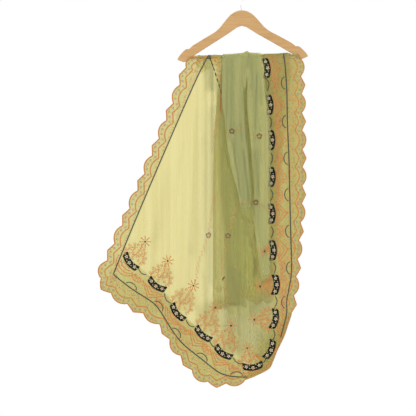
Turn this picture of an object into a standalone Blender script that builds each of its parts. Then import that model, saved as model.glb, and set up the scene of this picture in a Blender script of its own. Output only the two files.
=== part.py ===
"""A sheer embroidered dupatta hung over the trouser bar of a wooden hanger.

Sizes are in millimetres and become metres where points are made. X runs to the right seen from
the front, Z up, and the front faces -Y. The origin is the inside top of the hook's bend.
The front of the cloth is laid out on a plane of x and s: s is the height below the bar, and above
it the length along the cloth as it turns over the bar. Each stretch is moved out from that plane.
"""

import math

import bmesh
import bpy
import numpy as np
from mathutils import Matrix, Vector
from mathutils.geometry import delaunay_2d_cdt

MM = 0.001

# Hook: one bent steel wire, its bend centred over the stem
HOOK_WIRE_R = 1.6
HOOK_INNER_R = 20.0
HOOK_END_DEG = 205
HOOK_STEM_TOP_Z = -62.0
HOOK_HOLE_DEPTH = 25.0
HOOK_HOLE_CLEARANCE = 0.3

# Hanger: flat shaped arms, turned a little about the top of the hump
HUMP_Z = -81.4
HANGER_TILT_DEG = 1.5
ARM_THICKNESS = 11.0
ARM_EDGE_ROUND = 1.5
BAR_BELOW_HUMP = 157.5
BAR_R = 4.0
BAR_HALF = 199.0
BAR_HOLE_START = 168.0
BAR_HOLE_CLEARANCE = 0.3

# Right half of the arms seen from the front: x from the middle, z from the top of the hump
ARM_TOP = [(0, 0), (9, -0.5), (21, -4), (36, -13), (51, -28), (66, -46), (87, -68), (132, -94), (178, -121)]
ARM_END = [(182, -127), (186, -126), (194, -128), (208, -141), (217, -152), (222, -162), (216, -170)]
ARM_FOOT = [(200, -171), (184, -166), (173, -154)]
ARM_UNDERSIDE = [(120, -121.5), (50, -79.5), (16, -57), (0, -52)]

# Cloth
WALL = 1.0
CLEAR = 0.4
SCALLOP_PITCH = 64.0
SCALLOP_DEPTH = 14.0
POINTS_PER_SCALLOP = 4
NET = 30.0
BAR_STRETCH = 6.0
TURN_STEP = math.radians(30)
REST_R = BAR_R + CLEAR + WALL / 2
FRONT_R = REST_R + WALL + CLEAR
ARM_PASS_R = 8.2
ARM_PASS_START = 118.0
ARM_PASS_END = 150.0
# Where the cloth stands up off the bar: middle, half width, height
LIFTS = [(-94, 32, 3.0), (5, 24, 5.0)]
LIFT_FADE = 60.0

# Valleys of the scallops on the short end, from the corner over the bar to the corner below left
SHORT_END = [(-137, -168), (-140, -196), (-142, -222), (-147, -240), (-172, -257), (-188, -276),
             (-220, -366), (-258, -465), (-303, -575), (-348, -684), (-394, -790), (-453, -927)]
LOW_CORNER = [(-472, -962), (-476, -992), (-465, -1020), (-434, -1046)]
LONG_EDGE = [(-373, -1085), (-322, -1115), (-275, -1149), (-247, -1190), (-223, -1229), (-194, -1268),
             (-168, -1301), (-136, -1328), (-97, -1345), (-52, -1346), (-18, -1342), (12, -1336)]
TURNED_EDGE = [(12, -1336), (52, -1319), (92, -1297), (106, -1272), (120, -1236), (143, -1189), (156, -1152),
               (170, -1109)]
RIGHT_EDGE = [(169, -1109), (176, -1055), (186, -964), (192, -881), (198, -816), (203, -751), (205, -686),
              (206, -618), (206, -556), (205, -489), (204, -418), (203, -348), (200, -283), (198, -243)]
TOP_RIGHT = (193, 3.5)
TOP_RIGHT_IN = (169, 3.5)
CROWN_RIGHT_X = 162
FLAP_RIGHT_X = -12
FLAP_EDGE = [(-84, 40.0), (-48, 25.0), (-12, 9.9)]

# Folds of the front: x and z of both ends, height towards the viewer, half width
FRONT_FOLDS = [
    # x0, z0, x1, z1, height, half width
    (-240, -700, -290, -900, 14.0, 95.0),
    (-104, -430, -84, -1120, 8.0, 24.0),
    (-150, -420, -250, -860, -4.0, 30.0),
    (-120, -300, -118, -520, 4.0, 18.0),
    (-50, -1030, -24, -1170, 6.0, 26.0),
    (26, -1050, 30, -1170, 6.0, 24.0),
    (-330, -1040, -380, -1110, 8.0, 48.0),
    (-250, -1060, -300, -1160, -5.0, 40.0),
    (-190, -1120, -240, -1225, 7.0, 44.0),
    (-140, -1200, -178, -1310, -5.0, 46.0),
    (-80, -1240, -95, -1350, 9.0, 44.0),
    (0, -1250, 0, -1340, -6.0, 40.0),
    (80, -1170, 130, -1230, 6.0, 44.0),
    (132, -380, 140, -960, -4.0, 30.0),
    (188, -380, 196, -1010, 6.0, 30.0),
    (-330, -640, -345, -700, -6.0, 36.0),
    (-400, -840, -430, -890, 7.0, 42.0),
    (-240, -400, -262, -460, 5.0, 34.0),
]
SWAG_FORWARD = 12.0
FOLD_FADE_BELOW_BAR = 70.0

# The layer folded under the front, from the crown of the bar down and back up
UNDER_LEFT = [(-97, -300), (-97, -471), (-98, -556), (-94, -726), (-86, -828), (-83, -930), (-76, -1032),
              (-69, -1134), (-52, -1182)]
UNDER_LOW = [(-20, -1204), (26, -1212), (60, -1180), (73, -1110)]
UNDER_RIGHT = [(78, -1000), (74, -900), (69, -760), (73, -600), (70, -450), (67, -320)]
UNDER_DROP = 10.0
UNDER_DROP_LENGTH = 90.0

# Pleats on the front: s is measured down from the bar's middle, and half depth is of the roll
PLEAT_LEFT = [
    # s, left x, right x, half depth
    (-9.5, -62, 12, 1.5),
    (-6.6, -63, 13, 1.6),
    (-3.3, -64, 13, 1.8),
    (0, -65, 14, 2.0),
    (14, -66, 16, 3.4),
    (45, -66, 16, 6.0),
    (95, -67, 14, 8.5),
    (150, -66, 10, 10.0),
    (215, -57, 15, 10.5),
    (290, -50, 22, 10.0),
    (365, -38, 29, 9.0),
    (450, -15, 33, 8.0),
    (505, -4, 32, 5.6),
    (540, 2, 30, 2.4),
]
PLEAT_RIGHT = [
    # s, left x, right x, half depth
    (-9.5, 17, 68, 1.5),
    (-6.6, 17, 69, 1.6),
    (-3.3, 18, 70, 1.8),
    (0, 18, 71, 2.0),
    (14, 20, 73, 3.2),
    (45, 21, 75, 5.2),
    (95, 21, 80, 7.4),
    (150, 18, 86, 9.0),
    (215, 22, 91, 10.0),
    (290, 30, 95, 10.0),
    (365, 38, 95, 9.0),
    (450, 42, 94, 8.0),
    (520, 40, 94, 7.0),
    (600, 46, 95, 5.6),
    (645, 51, 95, 4.8),
    (690, 57, 96, 3.8),
    (760, 65, 96, 1.8),
]
PLEAT_LEFT_OFF = 1.8
PLEAT_RIGHT_OFF = 3.4
PLEAT_AROUND = 12
PLEAT_OPEN_DEG = -62.0
PLEAT_SHUT_DEG = -360.0

# The back fall: s down from the crown, left and right x, and depth of the pleats
BACK_ROWS = [
    # s, left x, right x, pleat depth
    (0, -58, 158, 1.0),
    (14, -60, 160, 3.0),
    (32, -64, 166, 9.0),
    (75, -72, 168, 22.0),
    (160, -82, 158, 37.0),
    (300, -92, 144, 47.0),
    (460, -96, 132, 51.0),
    (620, -96, 122, 52.0),
    (760, -95, 114, 53.0),
    (842, -96, 110, 55.0),
]
# Across the back fall from the wide border: cloth width, share of the hanging width, share of depth
BACK_WIDTHS = [
    # cloth, across, depth
    (0, 0.0, 0.10),
    (45, 0.13, 0.34),
    (85, 0.24, 0.20),
    (128, 0.36, 0.42),
    (165, 0.45, 0.30),
    (200, 0.50, 0.05),
    (250, 0.54, 1.00),
    (300, 0.58, 0.06),
    (345, 0.615, 0.88),
    (392, 0.66, 0.00),
    (446, 0.70, 1.04),
    (498, 0.735, 0.10),
    (544, 0.77, 0.86),
    (590, 0.805, 0.04),
    (642, 0.84, 1.00),
    (694, 0.875, 0.12),
    (740, 0.905, 0.84),
    (788, 0.935, 0.05),
    (842, 0.965, 0.92),
    (900, 1.0, 0.14),
]
BACK_COLUMNS = 57
BACK_SCALLOPS = 14
CLOTH_WIDTH = 900.0
HEM_SLOPE = 26.0

# Border turned back behind the lower right edge: share of the way along, width
TURNED_OFF = 2.2
TURNED_WIDTHS = [(0.0, 10), (0.12, 46), (0.3, 80), (0.5, 90), (0.7, 78), (0.88, 44), (1.0, 10)]

# Velvet patches on the front, from the low left corner round and up to the bar: middle and turn
PATCH_LENGTH = 68.0
PATCH_WIDTH = 25.0
PATCH_BOW = 8.0
PATCHES = [
    # x, z, turn in degrees
    (-376, -935, -52),
    (-287, -1013, -36),
    (-217, -1106, -52),
    (-131, -1180, -42),
    (-62, -1242, -36),
    (38, -1289, 8),
    (96, -1232, 66),
    (111, -1128, 80),
    (115, -1013, 88),
    (105, -896, 92),
    (101, -772, 92),
    (101, -647, 90),
    (100, -522, 91),
    (94, -403, 93),
    (84, -278, 95),
]
# Velvet patches on the back fall: s down from the crown
BACK_PATCHES = [110, 232, 355, 480, 605, 730]
BACK_PATCH_FROM_EDGE = 119.0
PATCH_OFF = 1.9

COLOURS = {
    "organza": (0.62, 0.55, 0.22, 1.0),
    "velvet": (0.012, 0.016, 0.014, 1.0),
    "wood": (0.62, 0.40, 0.16, 1.0),
    "steel": (0.60, 0.60, 0.58, 1.0),
}


def clear_scene():
    for item in list(bpy.data.objects):
        bpy.data.objects.remove(item, do_unlink=True)


def material(name, roughness, metallic=0.0):
    made = bpy.data.materials.new(name)
    made.use_nodes = True
    shader = made.node_tree.nodes["Principled BSDF"]
    shader.inputs["Base Color"].default_value = COLOURS[name]
    shader.inputs["Roughness"].default_value = roughness
    shader.inputs["Metallic"].default_value = metallic
    return made


def soft_step(value):
    value = min(max(value, 0.0), 1.0)
    return value * value * (3 - 2 * value)


def mix(a, b, share):
    return a + (b - a) * share


def smooth_path(points, step):
    """Points about step apart on a smooth curve through the given ones."""
    ends = [points[0]] + list(points) + [points[-1]]
    made = []
    for a, b, c, d in zip(ends, ends[1:], ends[2:], ends[3:]):
        a, b, c, d = (np.array(p, float) for p in (a, b, c, d))
        count = max(1, round(float(np.linalg.norm(c - b)) / step))
        for k in range(count):
            t = k / count
            made.append(0.5 * (2 * b + (c - a) * t + (2 * a - 5 * b + 4 * c - d) * t**2
                               + (3 * b - a - 3 * c + d) * t**3))
    made.append(np.array(points[-1], float))
    return made


def along(points, count):
    """Count points evenly spaced by length along a path, both ends included."""
    points = np.array(points, float)
    lengths = np.concatenate([[0], np.cumsum(np.linalg.norm(np.diff(points, axis=0), axis=1))])
    wanted = np.linspace(0, lengths[-1], count)
    return np.stack([np.interp(wanted, lengths, points[:, k]) for k in range(2)], axis=1)


def read_table(rows, value):
    """The columns of a table at a value of its first column."""
    keys = [row[0] for row in rows]
    return [float(np.interp(value, keys, [row[k] for row in rows])) for k in range(1, len(rows[0]))]


def soft_table(rows, value, column):
    """A column of a table at a value of its first, level at each row as the top of a fold is."""
    keys = [row[0] for row in rows]
    place = float(np.interp(value, keys, range(len(keys))))
    low = min(int(place), len(rows) - 2)
    return mix(rows[low][column], rows[low + 1][column], soft_step(place - low))


def scallop(turn):
    """Height of the edge at a count of scallops: pointed and round ones take turns."""
    t = turn % 1.0
    if int(turn) % 2:
        return math.sin(math.pi * t) ** 0.8
    return (1 - abs(2 * t - 1)) ** 0.9


def scalloped(path, first, depth=SCALLOP_DEPTH):
    """A path with whole scallops standing off its right-hand side."""
    smooth = smooth_path(path, 6.0)
    length = sum(float(np.linalg.norm(b - a)) for a, b in zip(smooth, smooth[1:]))
    scallops = max(1, round(length / SCALLOP_PITCH))
    count = scallops * POINTS_PER_SCALLOP + 1
    base = along(smooth, count)
    tangents = np.gradient(base, axis=0)
    outward = np.stack([tangents[:, 1], -tangents[:, 0]], axis=1)
    outward /= np.linalg.norm(outward, axis=1)[:, None]
    heights = np.array([scallop(first + k / POINTS_PER_SCALLOP) for k in range(count)]) * depth
    return [tuple(p) for p in base + outward * heights[:, None]]


def bar_z(x):
    tilt = math.radians(HANGER_TILT_DEG)
    return HUMP_Z - BAR_BELOW_HUMP / math.cos(tilt) + x * math.tan(tilt)


def lift(x):
    return sum(height * math.exp(-((x - middle) / half) ** 2) for middle, half, height in LIFTS)


def front_r(x):
    """Distance of the front's middle surface from the bar's axis, wider where it passes the arms."""
    share = soft_step((abs(x - 4) - ARM_PASS_START) / (ARM_PASS_END - ARM_PASS_START))
    return mix(FRONT_R, ARM_PASS_R, share) + lift(x)


def fold_height(x, z):
    """Height towards the viewer that the folds give the front at a place."""
    total = SWAG_FORWARD * soft_step((bar_z(x) - z) / 1000)
    for x0, z0, x1, z1, height, half in FRONT_FOLDS:
        run = np.array([x1 - x0, z1 - z0], float)
        length = float(np.linalg.norm(run))
        run /= length
        offset = np.array([x - x0, z - z0])
        forward = float(offset @ run)
        across = float(offset @ np.array([-run[1], run[0]]))
        past = max(-forward, forward - length, 0.0)
        total += height * math.exp(-(across / half) ** 2 - (past / (1.6 * half)) ** 2)
    return total * soft_step((bar_z(x) - z) / FOLD_FADE_BELOW_BAR)


def on_front(x, s, off=0.0):
    """Point of the front at x and s, moved out from its middle surface by off."""
    z = bar_z(x)
    r = front_r(x) + off
    if s <= z:
        settled = lift(x) * soft_step((z - s) / LIFT_FADE)
        return Vector((x, settled - r - fold_height(x, s), s)) * MM
    angle = (s - z) / front_r(x)
    if angle <= math.pi:
        return Vector((x, -r * math.cos(angle), z + r * math.sin(angle))) * MM
    return Vector((x, r, z - (s - z - math.pi * front_r(x)))) * MM


def crown(x):
    """s at the top of the bar."""
    return bar_z(x) + front_r(x) * math.pi / 2


def stretched(x, s):
    """The same place with the turn over the bar drawn out, for an even net."""
    z = bar_z(x)
    return s if s <= z else z + (s - z) * BAR_STRETCH


def unstretched(x, p):
    z = bar_z(x)
    return p if p <= z else z + (p - z) / BAR_STRETCH


def with_turn_points(outline):
    """An outline with a point wherever it crosses a step of the turn over the bar."""
    made = []
    for (x0, s0), (x1, s1) in zip(outline, outline[1:] + outline[:1]):
        made.append((x0, s0))
        a0 = (s0 - bar_z(x0)) / front_r(x0) / TURN_STEP
        a1 = (s1 - bar_z(x1)) / front_r(x1) / TURN_STEP
        steps = [k for k in range(7) if min(a0, a1) + 0.05 < k < max(a0, a1) - 0.05]
        if a1 < a0:
            steps.reverse()
        for k in steps:
            share = (k - a0) / (a1 - a0)
            x = mix(x0, x1, share)
            made.append((x, bar_z(x) + k * TURN_STEP * front_r(x)))
    return made


def net_rows(low, high, net):
    """Rows of the net as functions of x: even below the bar, and at each step of the turn over it."""
    rows = [lambda x, k=k: bar_z(x) + k * TURN_STEP * front_r(x) * BAR_STRETCH for k in range(7)]
    for drop in (14, 34):
        rows.append(lambda x, drop=drop: bar_z(x) - drop)
    top = bar_z(0) - 34
    for j in range(1, math.ceil((top - low) / (net * 0.87))):
        rows.append(lambda x, j=j: bar_z(x) - 34 - j * net * 0.87)
    behind = bar_z(0) + 6 * TURN_STEP * FRONT_R * BAR_STRETCH
    for j in range(1, math.ceil(max(0.0, high - behind) / net)):
        rows.append(lambda x, j=j: bar_z(x) + 6 * TURN_STEP * front_r(x) * BAR_STRETCH + j * net)
    return rows


def inside(point, corners, nxt, gap):
    """Whether a point is in an outline and further than gap from its edge."""
    x, y = point
    rise = np.where(nxt[:, 1] == corners[:, 1], 1e-9, nxt[:, 1] - corners[:, 1])
    beyond = x < (nxt[:, 0] - corners[:, 0]) * (y - corners[:, 1]) / rise + corners[:, 0]
    crossing = ((corners[:, 1] > y) != (nxt[:, 1] > y)) & beyond
    run = nxt - corners
    share = np.clip(((point - corners) * run).sum(axis=1) / (run**2).sum(axis=1), 0, 1)
    nearest = np.linalg.norm(corners + run * share[:, None] - point, axis=1).min()
    return crossing.sum() % 2 == 1 and nearest > gap


def net_sheet(name, outline, place, net, look, home):
    """A wall over an outline on the plane of x and s, with an even net of points inside it."""
    edge = [Vector((x, stretched(x, s))) for x, s in with_turn_points(outline)]
    corners = np.array([tuple(p) for p in edge])
    nxt = np.roll(corners, -1, axis=0)
    low, high = corners.min(axis=0), corners.max(axis=0)
    inner = []
    for j, row in enumerate(net_rows(low[1], high[1], net)):
        shift = 0.0 if j < 9 else (j % 2) * net / 2
        for x in np.arange(low[0] + shift + net / 3, high[0], net):
            point = np.array([x, row(x)])
            if inside(point, corners, nxt, net * (0.2 if j < 9 else 0.45)):
                inner.append(Vector((float(x), float(point[1]))))
    points, _, faces, *_ = delaunay_2d_cdt(edge + inner, [], [list(range(len(edge)))], 1, 1e-4)
    mesh = bmesh.new()
    verts = [mesh.verts.new(place(p.x, unstretched(p.x, p.y))) for p in points]
    for face in faces:
        mesh.faces.new([verts[k] for k in face])
    return walled(name, mesh, look, home)


def grid_sheet(name, across, down, place, look, home):
    """A wall through an even grid, its points placed by their shares across and down."""
    mesh = bmesh.new()
    bmesh.ops.create_grid(mesh, x_segments=across, y_segments=down, size=0.5)
    for vert in mesh.verts:
        vert.co = place(vert.co.x + 0.5, 0.5 - vert.co.y)
    return walled(name, mesh, look, home)


def walled(name, mesh, look, home, thickness=WALL):
    data = bpy.data.meshes.new(name)
    mesh.to_mesh(data)
    mesh.free()
    data.shade_smooth()
    item = bpy.data.objects.new(name, data)
    data.materials.append(look)
    home.objects.link(item)
    wall = item.modifiers.new("Wall", "SOLIDIFY")
    wall.thickness = thickness * MM
    wall.offset = 0.0
    return item


def front_fall(look, home):
    """The front, with the border's short end, the swag of the long edge, and the flap over the bar."""
    first = scalloped(SHORT_END + LOW_CORNER + LONG_EDGE, 0)
    turned = [tuple(p) for p in along(smooth_path(TURNED_EDGE, 8.0), 14)][1:-1]
    right = scalloped(RIGHT_EDGE, 0)
    top = [
        (TOP_RIGHT[0], bar_z(TOP_RIGHT[0]) + TOP_RIGHT[1]),
        (TOP_RIGHT_IN[0], bar_z(TOP_RIGHT_IN[0]) + TOP_RIGHT_IN[1]),
    ]
    over = [(x, crown(x)) for x in np.linspace(CROWN_RIGHT_X, FLAP_RIGHT_X, 6)]
    flap = [(x, crown(x) + rise) for x, rise in FLAP_EDGE[::-1]]
    outline = [(float(x), float(s)) for x, s in first + turned + right + top + over + flap]
    return net_sheet("front_fall", outline, on_front, NET, look, home)


def under_place(x, s):
    drop = bar_z(x) - s
    depth = UNDER_DROP * soft_step(drop / UNDER_DROP_LENGTH)
    lifted = (front_r(x) - FRONT_R) * (1 - soft_step(drop / LIFT_FADE))
    return on_front(x, s, -(WALL + CLEAR) - depth - lifted)


def under_fold(look, home):
    """The layer folded under the front, seen through it."""
    outline = [tuple(p) for p in smooth_path(UNDER_LEFT + UNDER_LOW + UNDER_RIGHT, NET)]
    outline += [(x, crown(x) - 0.2) for x in np.linspace(UNDER_RIGHT[-1][0], UNDER_LEFT[0][0], 9)]
    return net_sheet("under_fold", outline, under_place, NET, look, home)


def pleat(name, rows, off, look, home):
    """A soft flattened roll on the front, open along its back right side."""

    def place(share, fall):
        s, left, right, half = rows[round(fall * (len(rows) - 1))]
        turn = math.radians(mix(PLEAT_OPEN_DEG, PLEAT_SHUT_DEG, share))
        x = (left + right) / 2 + (right - left) / 2 * math.cos(turn)
        return on_front(x, bar_z(x) - s, off + half + half * math.sin(turn))

    return grid_sheet(name, PLEAT_AROUND, len(rows) - 1, place, look, home)


def back_r(x):
    return front_r(x) + WALL + 2 * CLEAR


def on_back(cloth, s, off=0.0):
    """Point of the back fall at a width of the cloth from its wide border, and s down from the crown."""
    left, right, depth = read_table(BACK_ROWS, s)
    across, _ = read_table(BACK_WIDTHS, cloth)
    share = soft_table(BACK_WIDTHS, cloth, 2)
    x = mix(right, left, across)
    r = back_r(x) + depth * share + off
    z = bar_z(x)
    angle = math.pi / 2 + s / back_r(x)
    if angle <= math.pi:
        return Vector((x, -r * math.cos(angle), z + r * math.sin(angle))) * MM
    return Vector((x, r, z - (s - back_r(x) * math.pi / 2))) * MM


def back_fall(look, home):
    """The pleated rest of the length behind the bar, down to the other short end."""
    turn = [k * TURN_STEP * (FRONT_R + WALL + CLEAR) for k in range(4)]
    drops = turn + [row[0] for row in BACK_ROWS if row[0] > turn[-1] + 8]

    def place(share, fall):
        row = round(fall * (len(drops) - 1))
        cloth = share * CLOTH_WIDTH
        hem = SCALLOP_DEPTH * scallop(share * BACK_SCALLOPS + 1e-9) + HEM_SLOPE * share
        return on_back(cloth, drops[row] + (hem if row == len(drops) - 1 else 0.0))

    return grid_sheet("back_fall", BACK_COLUMNS, len(drops) - 1, place, look, home)


def turned_border(look, home):
    """The border folded back behind the lower right edge."""
    path = along(smooth_path(TURNED_EDGE, 8.0), 25)
    tangents = np.gradient(path, axis=0)
    inward = np.stack([-tangents[:, 1], tangents[:, 0]], axis=1)
    inward /= np.linalg.norm(inward, axis=1)[:, None]

    def place(share, fall):
        row = share * 24
        k = min(int(row), 23)
        base = mix(path[k], path[k + 1], row - k)
        side = mix(inward[k], inward[k + 1], row - k)
        width, = read_table(TURNED_WIDTHS, share)
        x, s = base + side * mix(1.0, width, fall)
        return on_front(float(x), float(s), -TURNED_OFF)

    return grid_sheet("turned_border", 18, 3, place, look, home)


def patch_shape(share, across):
    """Place on a patch along and across it: bowed, with rounded ends."""
    lengthwise = (share - 0.5) * PATCH_LENGTH
    narrowing = math.sqrt(max(0.0, 1 - (abs(2 * share - 1)) ** 5)) * 0.72 + 0.28
    bow = PATCH_BOW * (1 - (2 * share - 1) ** 2) - PATCH_BOW / 2
    return lengthwise, (across - 0.5) * PATCH_WIDTH * narrowing - bow


def front_patch(name, x, z, turn, look, home):
    angle = math.radians(turn)
    run = (math.cos(angle), math.sin(angle))

    def place(share, across):
        u, v = patch_shape(share, across)
        return on_front(x + u * run[0] - v * run[1], z + u * run[1] + v * run[0], PATCH_OFF)

    return grid_sheet(name, 6, 2, place, look, home)


def back_patch(name, s, look, home):

    def place(share, across):
        u, v = patch_shape(share, across)
        return on_back(BACK_PATCH_FROM_EDGE + v, s + u, PATCH_OFF)

    return grid_sheet(name, 6, 2, place, look, home)


def patches(look, home):
    for number, (x, z, turn) in enumerate(PATCHES, 1):
        front_patch(f"velvet_patch_{number:02d}", x, z, turn, look, home)
    for number, s in enumerate(BACK_PATCHES, 1):
        back_patch(f"back_patch_{number}", s, look, home)


def arm_outline():
    """The arms' outline all round, from the right half and its mirror."""
    half = smooth_path(ARM_TOP, 14.0)[:-1]
    half += smooth_path(ARM_END, 7.0)[:-1]
    half += smooth_path(ARM_FOOT, 12.0)[:-1]
    half += smooth_path([ARM_FOOT[-1]] + ARM_UNDERSIDE, 40.0)
    half = [tuple(p) for p in half]
    return half + [(-x, z) for x, z in half[-2:0:-1]]


def hanger_frame():
    return Matrix.Translation((0, 0, HUMP_Z * MM)) @ Matrix.Rotation(-math.radians(HANGER_TILT_DEG), 4, "Y")


def cylinder(name, radius, length, where, home, segments=24):
    """A cylinder along X in the hanger's own frame, or along Z if where says so."""
    mesh = bmesh.new()
    bmesh.ops.create_cone(mesh, cap_ends=True, segments=segments, radius1=radius * MM, radius2=radius * MM,
                          depth=length * MM)
    data = bpy.data.meshes.new(name)
    mesh.to_mesh(data)
    mesh.free()
    item = bpy.data.objects.new(name, data)
    item.matrix_world = where
    home.objects.link(item)
    return item


def hanger(wood, home, cutters):
    """The flat wooden arms, drilled for the bar and the hook."""
    mesh = bmesh.new()
    verts = [mesh.verts.new((x * MM, 0, z * MM)) for x, z in arm_outline()]
    mesh.faces.new(verts)
    data = bpy.data.meshes.new("hanger_arms")
    mesh.to_mesh(data)
    mesh.free()
    data.materials.append(wood)
    arms = bpy.data.objects.new("hanger_arms", data)
    arms.matrix_world = hanger_frame()
    home.objects.link(arms)
    wall = arms.modifiers.new("Thickness", "SOLIDIFY")
    wall.thickness = ARM_THICKNESS * MM
    wall.offset = 0.0
    edge = arms.modifiers.new("Rounded edges", "BEVEL")
    edge.width = ARM_EDGE_ROUND * MM
    edge.segments = 2
    edge.limit_method = "ANGLE"
    edge.angle_limit = math.radians(60)
    sideways = Matrix.Rotation(math.radians(90), 4, "Y")
    hole_length = BAR_HALF + BAR_HOLE_CLEARANCE - BAR_HOLE_START
    hole_middle = BAR_HOLE_START + hole_length / 2
    hole_r = BAR_R + BAR_HOLE_CLEARANCE
    holes = [(side * hole_middle, -BAR_BELOW_HUMP, sideways, hole_r, hole_length) for side in (-1, 1)]
    holes.append((0, 0, Matrix(), HOOK_WIRE_R + HOOK_HOLE_CLEARANCE, 2 * HOOK_HOLE_DEPTH))
    for number, (x, z, turned, radius, length) in enumerate(holes, 1):
        where = hanger_frame() @ Matrix.Translation((x * MM, 0, z * MM)) @ turned
        drill = cylinder(f"drill_{number}", radius, length, where, cutters)
        drill.hide_render = True
        drill.display_type = "WIRE"
        cut = arms.modifiers.new(f"Hole {number}", "BOOLEAN")
        cut.object = drill
    bar_place = hanger_frame() @ Matrix.Translation((0, 0, -BAR_BELOW_HUMP * MM)) @ sideways
    bar = cylinder("trouser_bar", BAR_R, 2 * BAR_HALF, bar_place, home, 20)
    bar.data.materials.append(wood)
    bar.data.shade_smooth()
    bar.data.set_sharp_from_angle(angle=math.radians(40))


def hook(steel, home):
    """The bent wire: a stem out of the hump and a round bend over the rail."""
    bend_r = HOOK_INNER_R + HOOK_WIRE_R
    centre = -HOOK_INNER_R
    foot = HUMP_Z - HOOK_HOLE_DEPTH + 1.0
    join = math.radians(-50)
    joined = (bend_r * math.cos(join), centre + bend_r * math.sin(join))
    lean = (HUMP_Z - foot) * math.tan(math.radians(HANGER_TILT_DEG))
    stem = [(lean, foot), (0, HUMP_Z), (-1.5, HOOK_STEM_TOP_Z), (-0.6, -53.0), (5.4, -44.0), joined]
    route = [tuple(p) for p in smooth_path(stem, 7.0)][:-1]
    turns = 22
    for k in range(turns + 1):
        angle = math.radians(mix(-50, HOOK_END_DEG, k / turns))
        route.append((bend_r * math.cos(angle), centre + bend_r * math.sin(angle)))
    curve = bpy.data.curves.new("hook", "CURVE")
    curve.dimensions = "3D"
    curve.bevel_depth = HOOK_WIRE_R * MM
    curve.bevel_resolution = 2
    curve.use_fill_caps = True
    spline = curve.splines.new("POLY")
    spline.points.add(len(route) - 1)
    for point, (x, z) in zip(spline.points, route):
        point.co = (x * MM, 0, z * MM, 1)
    curve.materials.append(steel)
    item = bpy.data.objects.new("hook", curve)
    home.objects.link(item)


def main():
    clear_scene()
    home = bpy.data.collections.new("dupatta_on_hanger")
    cutters = bpy.data.collections.new("cutters")
    bpy.context.scene.collection.children.link(home)
    bpy.context.scene.collection.children.link(cutters)
    organza = material("organza", 0.5)
    velvet = material("velvet", 0.95)
    wood = material("wood", 0.45)
    steel = material("steel", 0.25, 1.0)
    hanger(wood, home, cutters)
    hook(steel, home)
    front_fall(organza, home)
    under_fold(organza, home)
    pleat("pleat_left", PLEAT_LEFT, PLEAT_LEFT_OFF, organza, home)
    pleat("pleat_right", PLEAT_RIGHT, PLEAT_RIGHT_OFF, organza, home)
    turned_border(organza, home)
    back_fall(organza, home)
    patches(velvet, home)


main()
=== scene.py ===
import math

import bpy
import numpy as np
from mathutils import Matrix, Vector
from mathutils.geometry import delaunay_2d_cdt


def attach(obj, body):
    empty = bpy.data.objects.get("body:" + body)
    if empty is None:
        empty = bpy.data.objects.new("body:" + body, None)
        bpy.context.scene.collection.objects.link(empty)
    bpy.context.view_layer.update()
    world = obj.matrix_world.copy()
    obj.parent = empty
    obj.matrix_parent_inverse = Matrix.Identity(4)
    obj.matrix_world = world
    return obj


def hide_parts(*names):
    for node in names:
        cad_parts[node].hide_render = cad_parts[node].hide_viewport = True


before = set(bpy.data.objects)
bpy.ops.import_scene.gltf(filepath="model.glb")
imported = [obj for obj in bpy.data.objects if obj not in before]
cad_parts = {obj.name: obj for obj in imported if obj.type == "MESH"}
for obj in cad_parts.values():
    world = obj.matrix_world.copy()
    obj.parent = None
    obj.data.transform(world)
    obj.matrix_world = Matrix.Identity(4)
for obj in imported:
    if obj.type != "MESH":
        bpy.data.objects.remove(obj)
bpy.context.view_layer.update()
mm = 0.001
rng = np.random.default_rng(11)
print("frame loaded:", len(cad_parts), "nodes")

# The cloth lies on a plane of x and s in mm: s is the height below the bar, and above it the length
# along the cloth as it turns over the bar. A place function turns x, s and an offset into metres.

hanger = {"humpZ": -81.4, "tiltDeg": 1.5, "barBelowHump": 157.5, "barR": 4.0}
cloth = {
    "wall": 1.0, "clear": 0.4, "shell": 0.45, "net": 5.0, "barStretch": 5.0, "turnStepDeg": 10.0,
    "armPassR": 8.2, "armPassStart": 118.0, "armPassEnd": 150.0, "liftFade": 60.0,
    "lifts": [(-94, 32, 3.0), (5, 24, 5.0), (19, 8, 8.0)], "swagForward": 12.0, "foldFade": 70.0,
    "scallopPitch": 64.0, "scallopDepth": 14.0, "pointsPerScallop": 14,
    "lineDepth": 4.0, "pleatLineDepth": 2.4,
}
cloth["restR"] = hanger["barR"] + cloth["clear"] + cloth["wall"] / 2
cloth["frontR"] = cloth["restR"] + cloth["wall"] + cloth["clear"]

edges = {
    "shortEnd": [(-137, -168), (-140, -196), (-142, -222), (-147, -240), (-172, -257), (-188, -276),
                 (-220, -366), (-258, -465), (-303, -575), (-348, -684), (-394, -790), (-453, -927)],
    "lowCorner": [(-472, -962), (-476, -992), (-465, -1020), (-434, -1046)],
    "longEdge": [(-373, -1085), (-322, -1115), (-275, -1149), (-247, -1190), (-223, -1229), (-194, -1268),
                 (-168, -1301), (-136, -1328), (-97, -1345), (-52, -1346), (-18, -1342), (12, -1336)],
    "turned": [(12, -1336), (52, -1319), (92, -1297), (106, -1272), (120, -1236), (143, -1189), (156, -1152),
               (170, -1109)],
    "right": [(169, -1109), (176, -1055), (186, -964), (192, -881), (198, -816), (203, -751), (205, -686),
              (206, -618), (206, -556), (205, -489), (204, -418), (203, -348), (200, -283), (198, -243)],
    "topRight": (193, 3.5), "topRightIn": (169, 3.5), "crownRightX": 162, "flapRightX": -12,
    "flap": [(-84, 40.0), (-48, 25.0), (-12, 9.9)],
}
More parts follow.
